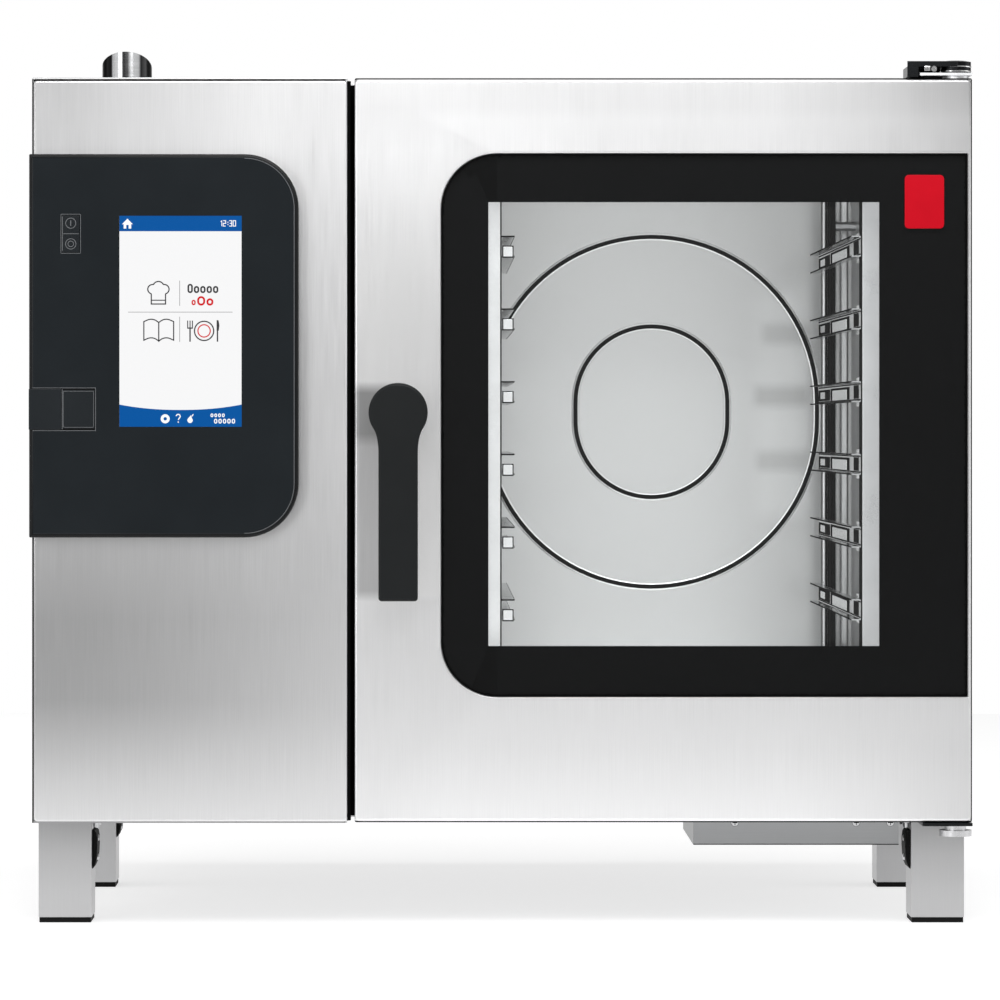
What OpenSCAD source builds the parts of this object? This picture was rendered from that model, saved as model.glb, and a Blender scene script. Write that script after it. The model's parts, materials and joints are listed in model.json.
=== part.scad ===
// Combi steamer oven, table-top size with seven shelf levels for GN 1/1 pans.
// Millimetres. +Z up, the front faces -Y, the origin is on the floor under the middle of the oven.

/* [Cabinet] */
// Width of the cabinet
cabinet_w = 875; // [865:1:885]
// Height of the cabinet without its legs
cabinet_h = 693.5; // [688:0.5:700]
// Height of the legs, with the glides screwed in
leg_h = 100; // [96:1:110]
// Depth from the door's front face to the rear panel
cabinet_d = 720; // [715:1:740]
// Thickness of the cabinet's sheet steel
sheet = 1.5; // [1.2:0.1:2]
// Width of the control column beside the door
column_w = 293; // [285:1:295]

/* [Door] */
// Thickness of the door
door_t = 62; // [60:1:66]
// Gap between the door's back and the cabinet's front frame
door_gap = 8; // [7:0.5:9]
// Gap between the control column and the door
column_gap = 7; // [6:0.5:8]
// Radius of the outer glass's two corners beside the handle
glass_corner_r = 52; // [30:1:70]
// Distance of the hinge axis from the cabinet's right side
hinge_inset_x = 14.5; // [13:0.5:16]
// Distance of the hinge axis from the door's front face
hinge_inset_y = 16; // [15:0.5:18]
// Radius of the two hinge pins
hinge_pin_r = 6; // [5:0.5:7]

/* [Handle] */
// Radius of the handle's round head
handle_head_r = 27.3; // [24:0.1:30]
// Width of the handle's bar
handle_bar_w = 36.3; // [30:0.1:40]
// Distance from the handle's pivot to the end of its bar
handle_reach = 174; // [150:1:200]
// Distance from the door's front face to the front of the handle
handle_standoff = 46; // [40:1:50]

/* [Control panel] */
// Width of the control panel
panel_w = 249.7; // [240:0.1:255]
// Height of the control panel
panel_h = 355.5; // [340:0.5:360]
// Depth of the control panel in front of the column
panel_d = 18; // [14:1:22]
// Radius of the control panel's two right corners
panel_corner_r = 50; // [30:1:60]
// Width of the display's picture
display_w = 113.4; // [100:0.1:120]
// Height of the display's picture
display_h = 195.6; // [180:0.1:205]

/* [Cooking chamber] */
// Number of shelf levels
shelf_count = 7; // [5:1:7]
// Height from one shelf level to the next
shelf_pitch = 69; // [65:1:70]
// Free width between the two racks' webs
pan_space_w = 340.5; // [335:0.5:345]
// Length of the racks
rack_l = 520; // [490:5:530]
// Height of the opening in a shelf rail
rail_h = 20; // [16:1:24]
// Width of a rail's flanges
rail_flange = 15; // [10:1:18]

/* [Legs] */
// Width of the square legs
leg_w = 50; // [45:1:55]
// Height of the glide that shows under a leg
glide_h = 5; // [4:0.5:8]
// How far the rear legs' front faces stand behind the door's front face
rear_leg_y = 430; // [400:1:600]

/* [Hidden] */
$fn = 48;

// Cabinet planes
x_right = cabinet_w / 2;
x_left = -x_right;
x_column = x_left + column_w;
z_base = leg_h;
z_top = leg_h + cabinet_h;
y_front = -350;
y_frame = y_front + door_t + door_gap;
y_rear = y_front + cabinet_d;
z_roof = z_top - sheet;

// Door
door_x0 = x_column + column_gap;
door_x1 = x_right - 0.5;
door_z0 = z_base + 0.5;
door_z1 = z_top - 0.5;
door_back = y_front + door_t;
skin_t = 2;
glass_x0 = -57;
glass_x1 = 432.5;
glass_z0 = 217.5;
glass_z1 = 722.5;
glass_lap = 3;
glass_t = 5;
mask_t = 0.6;
y_glass = y_front + skin_t;
window_x0 = -13;
window_x1 = 351;
window_z0 = 264.4;
window_z1 = 677.8;
hinge_x = x_right - hinge_inset_x;
hinge_y = y_front + hinge_inset_y;
hinge_disc_r = 15.3;
pin_clearance = 0.06;

// Inner glass and the frame that holds it
inner_t = 6;
inner_x0 = -58;
inner_x1 = 399;
inner_z0 = 177;
inner_z1 = 738;
inner_slack = 1;

// Handle
handle_x = -96.8;
handle_z = z_base + 381.8;
y_handle = y_front - handle_standoff;
handle_bar_t = 24;
shaft_r = 8;

// Cooking chamber
chamber_x0 = -40;
chamber_x1 = 381;
fan_room_x = -135;
chamber_z0 = z_base + 95;
chamber_z1 = z_base + 620;
chamber_y1 = 302;
chamber_corner_r = 20;
liner_y0 = y_frame + sheet;
bead_x = 163;
bead_z = z_base + 385;
bead_w = 4;
bead_h = 2.5;
bead_straight = 10;
drain_x = 170;
drain_y = 12;

// Racks
rack_y0 = -rack_l / 2;
web_x0 = 0.7;
web_x1 = web_x0 + pan_space_w;
rail_t = 1.2;
top_rail_z = z_base + 540;
post_w = 17;
post_d = 20;
post_z0 = chamber_z0 + 8;
post_z1 = chamber_z1 - 10;

// Circulation fan
fan_y = 12;
fan_z = z_base + 357;
fan_r = 150;
fan_x0 = -118;
fan_x1 = -58;
fan_shaft_r = 9;
heater_r = 166;
heater_tube_r = 5;
wool_t = 38;
wool_x = fan_room_x - sheet - 1.5 - wool_t;

// Control panel
panel_x0 = x_left - 1.5;
panel_z0 = z_base + 265.9;
panel_z1 = panel_z0 + panel_h;
y_panel = y_front - panel_d;
panel_rim = 3;
panel_glass_t = 3;
y_pocket = y_panel + 3;
display_x0 = -355.3;
display_z0 = z_base + 368.4;
display_d = 9;
rocker_x = -400.2;
rocker_z = z_base + 547.4;
rocker_w = 16.4;
rocker_h = 34.4;
slot_x1 = -377.6;
slot_z0 = z_base + 365.4;
slot_z1 = z_base + 404.2;

// Legs, in plan: the near-left corner of each
front_leg_y = y_frame + 5;
back_leg_y = y_front + rear_leg_y;
leg_wall = 2;
leg_plate_t = 3;

// Rear connections
cooling_fan_x = -320;
cooling_fan_z = z_base + 560;
valve_x = [-400, -350];
valve_z = z_base + 65;
thread_r = 13.2;
gland_x = -290;
pipe_r = 25;
pipe_wall = 1.5;
drain_z = z_base + sheet + pipe_r + 0.5;
y_drain_end = 396;

// ---------- helpers ----------

// A box from its two corners.
module block(a, b) { translate(a) cube(b - a); }

// Extrudes a drawing of X and Z from y0 to y1.
module along_y(y0, y1) { translate([0, y1, 0]) rotate([90, 0, 0]) linear_extrude(y1 - y0) children(); }

// Extrudes a drawing of Y and Z from x0 to x1.
module along_x(x0, x1) { translate([x0, 0, 0]) rotate([90, 0, 90]) linear_extrude(x1 - x0) children(); }

// A rectangle from its two corners, with all corners rounded.
module round_rect(a, b, r) {
    translate([a.x + r, a.y]) square([b.x - a.x - 2 * r, b.y - a.y]);
    translate([a.x, a.y + r]) square([b.x - a.x, b.y - a.y - 2 * r]);
    for (x = [a.x + r, b.x - r], y = [a.y + r, b.y - r]) translate([x, y]) circle(r);
}

// A rectangle from its two corners, with its left or its right corners rounded.
module one_side_round(a, b, r, left) {
    x = left ? a.x + r : b.x - r;
    translate([left ? x : a.x, a.y]) square([left ? b.x - x : x - a.x, b.y - a.y]);
    translate([left ? a.x : x - 1, a.y + r]) square([r + 1, b.y - a.y - 2 * r]);
    for (y = [a.y + r, b.y - r]) translate([x, y]) circle(r);
}

// A circle of radius r drawn out upwards and downwards by half.
module obround(r, half) {
    for (s = [-1, 1]) translate([0, s * half]) circle(r);
    square([2 * r, 2 * half], center = true);
}

module pin_y(x, z, r, y0, y1) { along_y(y0, y1) translate([x, z]) circle(r); }
module pin_x(y, z, r, x0, x1) { along_x(x0, x1) translate([y, z]) circle(r); }
module pin_z(x, y, r, z0, z1) { translate([x, y, z0]) cylinder(r = r, h = z1 - z0); }

// ---------- cabinet ----------

// The cabinet's outline from above: the column reaches forward beside the door.
module plan(inset) {
    translate([x_left + inset, y_frame + inset])
        square([cabinet_w - 2 * inset, y_rear - y_frame - 2 * inset]);
    translate([x_left + inset, y_front + inset])
        square([column_w - 2 * inset, y_rear - y_front - 2 * inset]);
}

module base_pan() {
    color("lightgray") translate([0, 0, z_base]) linear_extrude(sheet) difference() {
        plan(sheet);
        translate([drain_x, drain_y]) circle(12);
    }
}

module side_panel_left() {
    color("silver") block([x_left, y_front + sheet, z_base], [x_left + sheet, y_rear, z_roof]);
}

module side_panel_right() {
    color("silver") block([x_right - sheet, y_frame, z_base], [x_right, y_rear, z_roof]);
}

vent_x = -368;
vent_y = -50;
module top_panel() {
    color("silver") translate([0, 0, z_roof]) linear_extrude(sheet) difference() {
        plan(0);
        translate([vent_x, vent_y]) circle(pipe_r + 0.2);
    }
}

rear_slots = 6;
module rear_panel() {
    color("silver") along_y(y_rear - sheet, y_rear) difference() {
        translate([x_left + sheet, z_base]) square([cabinet_w - 2 * sheet, z_roof - z_base]);
        translate([drain_x, drain_z]) circle(pipe_r + 0.5);
        for (x = valve_x) translate([x, valve_z]) circle(thread_r + 0.5);
        translate([gland_x, valve_z]) circle(12.5);
        for (i = [0:rear_slots - 1])
            translate([cooling_fan_x - 50, cooling_fan_z - 50 + i * 18]) square([100, 8]);
        for (i = [0:7]) translate([-405 + i * 30, z_base + 440]) square([20, 5]);
    }
}

module column_front() {
    color("silver") {
        along_y(y_front, y_front + sheet) difference() {
            translate([x_left, z_base]) square([column_w, z_roof - z_base]);
            translate([display_x0, panel_z0 + 30]) square([60, 60]);
        }
        block([x_column - sheet, y_front + sheet, z_base], [x_column, y_frame + sheet, z_roof]);
    }
}

module front_frame() {
    color("lightgray") along_y(y_frame, liner_y0) difference() {
        translate([x_column, z_base]) square([x_right - sheet - x_column, z_roof - z_base]);
        round_rect([chamber_x0, chamber_z0], [chamber_x1, chamber_z1], chamber_corner_r);
    }
}

module panel_screws() {
    head_r = 4.5;
    head_h = 2.2;
    color("gainsboro") {
        for (x = [x_left + 12, x_right - 12], i = [0:5])
            pin_y(x, z_base + 20 + i * 130, head_r, y_rear, y_rear + head_h);
        for (i = [0:4], z = [z_base + 20, z_roof - 22])
            pin_y(-290 + i * 130, z, head_r, y_rear, y_rear + head_h);
    }
}

module drip_collector() {
    wall = 1.2;
    a = [181.4, front_leg_y, z_base - 26.5];
    b = [375.6, front_leg_y + 184, z_base];
    color("darkgray") difference() {
        block(a, b);
        block(a + [wall, wall, wall], [b.x - wall, b.y - wall, b.z + 1]);
    }
}

module collector_screws() {
    color("gainsboro") for (x = [220.8, 335.4, 367.8])
        pin_y(x, z_base - 5.5, 4, front_leg_y - 2.4, front_leg_y);
}

// ---------- legs ----------

LEG_X = [x_left, x_right - leg_w];
LEG_Y = [front_leg_y, back_leg_y];

module legs() {
    color("silver") for (i = [0, 1], j = [0, 1]) translate([LEG_X[i], LEG_Y[j], 0]) {
        difference() {
            block([0, 0, glide_h], [leg_w, leg_w, z_base - leg_plate_t]);
            block([leg_wall, leg_wall, glide_h - 1],
                [leg_w - leg_wall, leg_w - leg_wall, z_base - leg_plate_t - leg_wall]);
        }
        if (!(i == 1 && j == 0))
            block([0, 0, z_base - leg_plate_t], [leg_w, leg_w, z_base]);
    }
}

// Black clips on the inner face of each leg.
module leg_clamps() {
    bulge = 5;
    z0 = z_base - 51;
    z1 = z_base - 13;
    color("#202020") for (i = [0, 1], j = [0, 1]) {
        x = i == 0 ? x_left + leg_w : x_right - leg_w;
        s = i == 0 ? 1 : -1;
        along_y(LEG_Y[j] + 5, LEG_Y[j] + leg_w - 5)
            polygon([[x, z0], [x + s * bulge, z0 + 8], [x + s * bulge, z1 - 6], [x, z1]]);
    }
}

module glide(i, j) {
    slack = 0.3;
    m = leg_wall + slack;
    color("#181818") translate([LEG_X[i], LEG_Y[j], 0]) {
        block([0.7, 0.7, 0], [leg_w - 0.7, leg_w - 0.7, glide_h]);
        block([m, m, glide_h], [leg_w - m, leg_w - m, 40]);
    }
}
module glide_front_left() { glide(0, 0); }
module glide_front_right() { glide(1, 0); }
module glide_rear_left() { glide(0, 1); }
module glide_rear_right() { glide(1, 1); }

// ---------- cooking chamber ----------

module liner_outline(grow) {
    round_rect([fan_room_x - grow, chamber_z0 - grow], [chamber_x1 + grow, chamber_z1 + grow],
        chamber_corner_r + grow);
}

heater_leg_dy = [-30, 30];
steam_y = 200;
steam_z = z_base + 380;
steam_pipe_r = 14;
module chamber_liner() {
    color("gainsboro") difference() {
        along_y(liner_y0, chamber_y1 + sheet) liner_outline(sheet);
        along_y(liner_y0 - 1, chamber_y1) liner_outline(0);
        pin_x(fan_y, fan_z, fan_shaft_r + 3, fan_room_x - 5, fan_room_x + 5);
        for (d = heater_leg_dy)
            pin_x(fan_y + d, fan_z + heater_r - 3, heater_tube_r + 0.5, fan_room_x - 5, fan_room_x + 5);
        pin_x(steam_y, steam_z, steam_pipe_r - 2, fan_room_x - 5, fan_room_x + 5);
        pin_z(drain_x, drain_y, pipe_r - 2, chamber_z0 - 5, chamber_z0 + 5);
    }
}

// Two stiffening beads pressed into the rear wall.
module wall_beads() {
    radii = [80.7, 176.4];
    color("gray") along_y(chamber_y1 - bead_h, chamber_y1) translate([bead_x, bead_z])
        for (r = radii) difference() {
            obround(r, bead_straight);
            obround(r - bead_w, bead_straight);
        }
}

module insulation() {
    y0 = liner_y0 + 2;
    y1 = chamber_y1 + sheet + 40;
    z0 = chamber_z0 - sheet - 40;
    z1 = chamber_z1 + sheet + 50;
    color("khaki") {
        difference() {
            block([wool_x, y0, z0], [wool_x + wool_t, y1, z1]);
            pin_x(fan_y, fan_z, 24, wool_x - 1, wool_x + wool_t + 1);
            for (d = heater_leg_dy)
                pin_x(fan_y + d, fan_z + heater_r - 3, 9, wool_x - 1, wool_x + wool_t + 1);
            pin_x(steam_y, steam_z, steam_pipe_r + 2, wool_x - 1, wool_x + wool_t + 1);
        }
        block([chamber_x1 + sheet + 1, y0, z0], [x_right - sheet - 2, y1, z1]);
        difference() {
            block([wool_x + wool_t, y0, z0], [chamber_x1 + sheet + 1, y1, chamber_z0 - sheet - 1]);
            pin_z(drain_x, drain_y, pipe_r + 2, z0 - 1, chamber_z0);
        }
        difference() {
            block([wool_x + wool_t, y0, chamber_z1 + sheet + 1], [chamber_x1 + sheet + 1, y1, z1]);
            for (p = LAMPS) pin_z(p.x, p.y, 30, chamber_z1, z1 + 1);
        }
        block([wool_x + wool_t, chamber_y1 + sheet + 1, chamber_z0 - sheet - 1],
            [chamber_x1 + sheet + 1, y1, chamber_z1 + sheet + 1]);
    }
}

// The plate between the fan and the pans, with its intake grille and folded edges.
module suction_panel() {
    y0 = -245;
    y1 = 272;
    z0 = chamber_z0 + 6;
    z1 = chamber_z1 - 8;
    fold = 14;
    grille_r = 108;
    bars = 9;
    color("lightgray") {
        along_x(chamber_x0 - sheet, chamber_x0) difference() {
            translate([y0, z0]) square([y1 - y0, z1 - z0]);
            translate([fan_y, fan_z]) intersection() {
                circle(grille_r);
                for (i = [-bars:bars]) translate([-grille_r, i * 12 - 4]) square([2 * grille_r, 8]);
            }
        }
        for (y = [y0, y1 - sheet])
            block([chamber_x0 - sheet - fold, y, z0], [chamber_x0 - sheet, y + sheet, z1]);
    }
}

// One rack seen from the front: s is 1 where the pans are to its right, and -1 where they are to its left.
module rack(web, s) {
    color("lightgray") {
        for (i = [0:shelf_count - 1]) {
            z = top_rail_z - i * shelf_pitch;
            along_y(rack_y0, rack_y0 + rack_l) polygon([
                [web, z - rail_h / 2], [web + s * rail_flange, z - rail_h / 2],
                [web + s * rail_flange, z - rail_h / 2 + rail_t], [web + s * rail_t, z - rail_h / 2 + rail_t],
                [web + s * rail_t, z + rail_h / 2 - rail_t], [web + s * rail_flange, z + rail_h / 2 - rail_t],
                [web + s * rail_flange, z + rail_h / 2], [web, z + rail_h / 2]]);
            stop = [web, web + s * rail_flange];
            block([min(stop), -rack_y0 - rail_t, z - rail_h / 2], [max(stop), -rack_y0, z + rail_h / 2]);
        }
        post = [web, web - s * post_w];
        for (y = [rack_y0, -rack_y0 - post_d])
            block([min(post), y, post_z0], [max(post), y + post_d, post_z1]);
    }
}
module rack_left() { rack(web_x0 - rail_t, 1); }
module rack_right() { rack(web_x1 + rail_t, -1); }

// Studs on the side walls that carry the racks' posts.
module rack_studs() {
    r = 5;
    inset = 30;
    left_post = web_x0 - rail_t - post_w;
    right_post = web_x1 + rail_t + post_w;
    color("silver") for (y = [rack_y0 + post_d / 2, -rack_y0 - post_d / 2],
            z = [post_z0 + inset, post_z1 - inset]) {
        pin_x(y, z, r, chamber_x0, left_post);
        pin_x(y, z, r, right_post, chamber_x1);
    }
}

module floor_sieve() {
    sieve_r = 42;
    color("silver") translate([drain_x, drain_y, chamber_z0]) linear_extrude(2.5) difference() {
        circle(sieve_r);
        for (i = [-3:3]) translate([-26, i * 9 - 2]) square([52, 4]);
    }
}

LAMPS = [[70, -190], [270, -190]];
module chamber_lamps() {
    color("white") for (p = LAMPS) pin_z(p.x, p.y, 32, chamber_z1 - 9, chamber_z1);
}

module door_gasket() {
    slack = 0.3;
    color("#1c1c1c") along_y(door_back + slack, y_frame) difference() {
        round_rect([chamber_x0 - 16, chamber_z0 - 16], [chamber_x1 + 16, chamber_z1 + 16], 34);
        round_rect([chamber_x0 - 2, chamber_z0 - 2], [chamber_x1 + 2, chamber_z1 + 2], 22);
    }
}

// ---------- circulation fan, heater, steam ----------

module heating_ring() {
    color("dimgray") {
        for (x = [-106, -88, -70]) translate([x, fan_y, fan_z]) rotate([0, 90, 0])
            rotate_extrude() translate([heater_r, 0]) circle(heater_tube_r);
        for (x = [-106, -70]) {
            d = x < -90 ? heater_leg_dy[0] : heater_leg_dy[1];
            pin_x(fan_y + d, fan_z + heater_r - 3, heater_tube_r, wool_x - 12, x);
        }
    }
}

module fan_wheel() {
    blades = 24;
    color("silver") translate([0, fan_y, fan_z]) {
        difference() {
            union() {
                pin_x(0, 0, fan_r, fan_x0, fan_x0 + 2);
                pin_x(0, 0, 22, fan_x0, fan_x0 + 34);
            }
            pin_x(0, 0, fan_shaft_r + 0.05, fan_x0 - 1, fan_x1);
        }
        difference() {
            pin_x(0, 0, fan_r, fan_x1 - 2, fan_x1);
            pin_x(0, 0, fan_r - 26, fan_x1 - 3, fan_x1 + 1);
        }
        for (i = [0:blades - 1]) rotate([i * 360 / blades, 0, 0]) translate([fan_x0 + 1, 0, fan_r - 14])
            rotate([32, 0, 0]) block([0, -0.9, -13], [fan_x1 - fan_x0 - 2, 0.9, 11]);
    }
}

motor_x0 = -316;
motor_r = 60;
shaft_x0 = -285;
module fan_shaft() {
    color("silver") translate([0, fan_y, fan_z]) {
        pin_x(0, 0, fan_shaft_r, shaft_x0, fan_x0 + 36);
        pin_x(0, 0, 16, fan_x0 + 36, fan_x0 + 42);
    }
}

module fan_motor() {
    flange = 85;
    color("slategray") translate([0, fan_y, fan_z]) difference() {
        union() {
            pin_x(0, 0, motor_r, motor_x0, wool_x - 5);
            block([wool_x - 5, -flange, -flange], [wool_x - 1, flange, flange]);
            pin_x(0, 0, 20, motor_x0 - 14, motor_x0);
            block([-290, -30, motor_r - 4], [-220, 30, motor_r + 18]);
        }
        pin_x(0, 0, fan_shaft_r + 0.05, shaft_x0 - 0.5, wool_x);
        for (y = [-1, 1], z = [-1, 1]) pin_x(y * 72, z * 72, 4, wool_x - 6, wool_x);
    }
}

tank_x = -330;
tank_y = steam_y;
tank_r = 75;
tank_z1 = z_base + 230;
module steam_generator() {
    wall = 2;
    color("silver") difference() {
        union() {
            pin_z(tank_x, tank_y, tank_r, z_base + 25, tank_z1);
            for (a = [45:90:315]) translate([tank_x, tank_y, z_base + sheet]) rotate(a)
                block([50, -8, 0], [62, 8, 28]);
            pin_z(tank_x, tank_y, tank_r + 8, tank_z1 - 40, tank_z1 - 34);
        }
        pin_z(tank_x, tank_y, tank_r - wall, z_base + 25 + wall, tank_z1 - wall);
        pin_z(tank_x, tank_y, steam_pipe_r - 2, tank_z1 - 5, tank_z1 + 1);
    }
}

// Carries steam from the generator's lid to the fan room.
module steam_pipe() {
    r = steam_pipe_r;
    color("silver") difference() {
        union() {
            pin_z(tank_x, tank_y, r, tank_z1, steam_z);
            translate([tank_x, tank_y, steam_z]) sphere(r);
            pin_x(tank_y, steam_z, r, tank_x, fan_room_x - sheet);
        }
        pin_z(tank_x, tank_y, r - 2, tank_z1 - 1, steam_z);
        translate([tank_x, tank_y, steam_z]) sphere(r - 2);
        pin_x(tank_y, steam_z, r - 2, tank_x, fan_room_x);
    }
}

module drain_pipe() {
    r = pipe_r - 0.4;
    q = pipe_r - pipe_wall;
    color("silver") difference() {
        union() {
            pin_z(drain_x, drain_y, r, drain_z, chamber_z0 - sheet);
            translate([drain_x, drain_y, drain_z]) sphere(r);
            pin_y(drain_x, drain_z, r, drain_y, y_rear);
            pin_y(drain_x, drain_z, pipe_r, y_rear, y_drain_end);
        }
        pin_z(drain_x, drain_y, q, drain_z, chamber_z0);
        translate([drain_x, drain_y, drain_z]) sphere(q);
        pin_y(drain_x, drain_z, q, drain_y, y_drain_end + 1);
    }
}

// The air vent on the roof, cut off at a slant that falls to the back.
module vent_pipe() {
    rise = 45.7;
    slant = 30;
    color("silver") difference() {
        union() {
            pin_z(vent_x, vent_y, pipe_r - 0.3, z_top - 70, z_top + rise + 20);
            pin_z(vent_x, vent_y, pipe_r, z_top + 2, z_top + 14);
            pin_z(vent_x, vent_y, pipe_r + 10, z_top, z_top + 2);
        }
        pin_z(vent_x, vent_y, pipe_r - pipe_wall, z_top - 71, z_top + rise + 21);
        translate([vent_x, vent_y - pipe_r, z_top + rise]) rotate([-slant, 0, 0])
            translate([-60, -60, 0]) cube([120, 160, 80]);
    }
}

// ---------- electronics ----------

module circuit_board() {
    x = x_left + sheet + 6;
    color("seagreen") {
        block([x, -330, z_base + 300], [x + 2, -150, z_base + 600]);
        for (y = [-322, -158], z = [z_base + 310, z_base + 590])
            pin_x(y, z, 3, x_left + sheet, x);
        block([x + 2, -300, z_base + 330], [x + 30, -240, z_base + 400]);
        block([x + 2, -220, z_base + 340], [x + 16, -170, z_base + 420]);
        block([x + 2, -310, z_base + 450], [x + 20, -270, z_base + 560]);
        for (i = [0:4]) pin_x(-235 + i * 16, z_base + 500, 6, x + 2, x + 24);
    }
}

module contactors() {
    x = x_left + sheet;
    color("dimgray") {
        block([x, -325, z_base + 160], [x + 8, -110, z_base + 195]);
        for (i = [0:3]) block([x + 8, -320 + i * 52, z_base + 138], [x + 88, -275 + i * 52, z_base + 216]);
    }
}

fan_frame_w = 120;
fan_frame_t = 25;
y_cooling = y_rear - sheet - fan_frame_t;
module cooling_fan_frame() {
    w = fan_frame_w / 2;
    color("#252525") along_y(y_cooling, y_rear - sheet) translate([cooling_fan_x, cooling_fan_z])
        difference() {
            square(fan_frame_w, center = true);
            circle(w - 4);
            for (x = [-1, 1], z = [-1, 1]) translate([x * 52.5, z * 52.5]) circle(2.2);
        }
    color("#252525") along_y(y_cooling, y_cooling + 3) translate([cooling_fan_x, cooling_fan_z]) {
        circle(22);
        for (a = [45, 135]) rotate(a) square([fan_frame_w - 4, 5], center = true);
    }
}

module cooling_rotor() {
    color("#303030") translate([cooling_fan_x, 0, cooling_fan_z]) {
        pin_y(0, 0, 21, y_cooling + 4, y_rear - sheet - 2);
        for (a = [0:360 / 7:359]) rotate([0, a, 0]) translate([0, y_cooling + 13, 0]) rotate([0, 0, 38])
            block([-11, -1, 18], [11, 1, 52]);
    }
}

module water_valves() {
    color("#d8d4c4") for (x = valve_x) {
        block([x - 18, y_rear - sheet - 62, valve_z - 18], [x + 18, y_rear - sheet - 4, valve_z + 18]);
        pin_z(x, y_rear - 40, 15, valve_z + 18, valve_z + 52);
        pin_y(x, valve_z, thread_r + 3, y_rear - sheet - 4, y_rear - sheet);
        pin_y(x, valve_z, thread_r - 0.4, y_rear - sheet, y_rear);
        pin_y(x, valve_z, thread_r, y_rear, y_rear + 18);
    }
}

module cable_gland() {
    color("#222222") difference() {
        union() {
            pin_y(gland_x, valve_z, 12, y_rear - 18, y_rear + 4);
            along_y(y_rear, y_rear + 10) translate([gland_x, valve_z]) circle(16, $fn = 6);
            pin_y(gland_x, valve_z, 13, y_rear + 10, y_rear + 20);
            along_y(y_rear - sheet - 6, y_rear - sheet) translate([gland_x, valve_z]) circle(16, $fn = 6);
        }
        pin_y(gland_x, valve_z, 8, y_rear - 20, y_rear + 22);
    }
}

module terminal_cover() {
    color("silver") block([-345, y_rear, z_base + 110], [-235, y_rear + 8, z_base + 180]);
}

// ---------- control panel ----------

module usb_slot(depth) {
    block([panel_x0 - 1, y_panel - 2, slot_z0], [slot_x1, y_panel + depth, slot_z1]);
}

module control_housing() {
    color("#141414") difference() {
        along_y(y_panel + 1, y_front)
            one_side_round([panel_x0, panel_z0], [panel_x0 + panel_w, panel_z1], panel_corner_r, false);
        along_y(y_panel - 1, y_pocket)
            one_side_round([panel_x0 + panel_rim, panel_z0 + panel_rim],
                [panel_x0 + panel_w - panel_rim, panel_z1 - panel_rim], panel_corner_r - panel_rim, false);
        block([display_x0 - 2, y_pocket - 1, display_z0 - 2],
            [display_x0 + display_w + 2, y_pocket + display_d + 0.2, display_z0 + display_h + 2]);
        block([rocker_x - 8.8, y_pocket - 1, rocker_z - 18.4], [rocker_x + 8.8, y_front - 4, rocker_z + 18.4]);
        usb_slot(7);
        block([slot_x1 - 23, y_pocket, slot_z0 + 14], [slot_x1 - 7, y_front - 3, slot_z0 + 24]);
    }
}

module control_glass() {
    g = 0.3;
    m = panel_rim + g;
    color("#1d2123") difference() {
        along_y(y_panel, y_pocket)
            one_side_round([panel_x0 + m, panel_z0 + m], [panel_x0 + panel_w - m, panel_z1 - m],
                panel_corner_r - m, false);
        usb_slot(5);
        block([rocker_x - 8.8, y_panel - 1, rocker_z - 18.4], [rocker_x + 8.8, y_pocket + 1, rocker_z + 18.4]);
        block([display_x0, y_panel - 1, display_z0],
            [display_x0 + display_w, y_pocket + 1, display_z0 + display_h]);
    }
}

module display_module() {
    g = 0.2;
    color("#f2f2f2") {
        block([display_x0 + g, y_panel + 0.2, display_z0 + g],
            [display_x0 + display_w - g, y_pocket, display_z0 + display_h - g]);
        block([display_x0 - 1.5, y_pocket, display_z0 - 1.5],
            [display_x0 + display_w + 1.5, y_pocket + display_d, display_z0 + display_h + 1.5]);
    }
}

module power_rocker() {
    t = 8.5;
    color("#1b1e20") translate([rocker_x, 0, rocker_z]) {
        block([-rocker_w / 2, y_panel, -rocker_h / 2], [rocker_w / 2, y_panel + t, rocker_h / 2]);
        for (z = [-10, 10]) pin_y(0, z, 4.6, y_panel - 0.4, y_panel);
    }
}

module usb_socket() {
    x = slot_x1 - 15;
    z = slot_z0 + 19;
    color("silver") difference() {
        block([x - 7, y_pocket + 4.2, z - 3.5], [x + 7, y_front - 3.5, z + 3.5]);
        block([x - 6, y_pocket + 4, z - 2.5], [x + 6, y_front - 5, z + 2.5]);
    }
}

// A sliding cover: its left half stands proud and wraps around the panel's edge as a grip.
module usb_cover() {
    g = 0.3;
    x0 = panel_x0 - 1.2;
    x_mid = (panel_x0 + slot_x1) / 2;
    color("#1b1e20") {
        block([x0, y_pocket, slot_z0 + g], [slot_x1 - g, y_pocket + 3.6, slot_z1 - g]);
        block([x_mid, y_panel + 0.5, slot_z0 + 1.5], [slot_x1 - g, y_pocket, slot_z1 - 1.5]);
        block([x0, y_panel - 0.8, slot_z0 + g], [x_mid, y_pocket, slot_z1 - g]);
    }
}

// ---------- door ----------

module skin_opening() {
    one_side_round([glass_x0, glass_z0], [glass_x1, glass_z1], glass_corner_r, true);
}

module glass_outline() {
    one_side_round([glass_x0 - glass_lap, glass_z0 - glass_lap], [door_x1 - sheet - 0.3, glass_z1 + glass_lap],
        glass_corner_r + glass_lap, true);
}

module door_frame() {
    color("silver") difference() {
        block([door_x0, y_front, door_z0], [door_x1, door_back - skin_t, door_z1]);
        block([door_x0 + sheet, y_glass, door_z0 + sheet], [door_x1 - sheet, door_back, door_z1 - sheet]);
        along_y(y_front - 1, y_glass + 1) skin_opening();
        pin_z(hinge_x, hinge_y, hinge_pin_r + 1, door_z0 - 1, door_z1 + 1);
        pin_y(handle_x, handle_z, shaft_r + 0.3, y_front - 1, y_glass + 1);
    }
}

module outer_glass() {
    color([0.1, 0.12, 0.12, 0.4]) along_y(y_glass, y_glass + glass_t) glass_outline();
}

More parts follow.
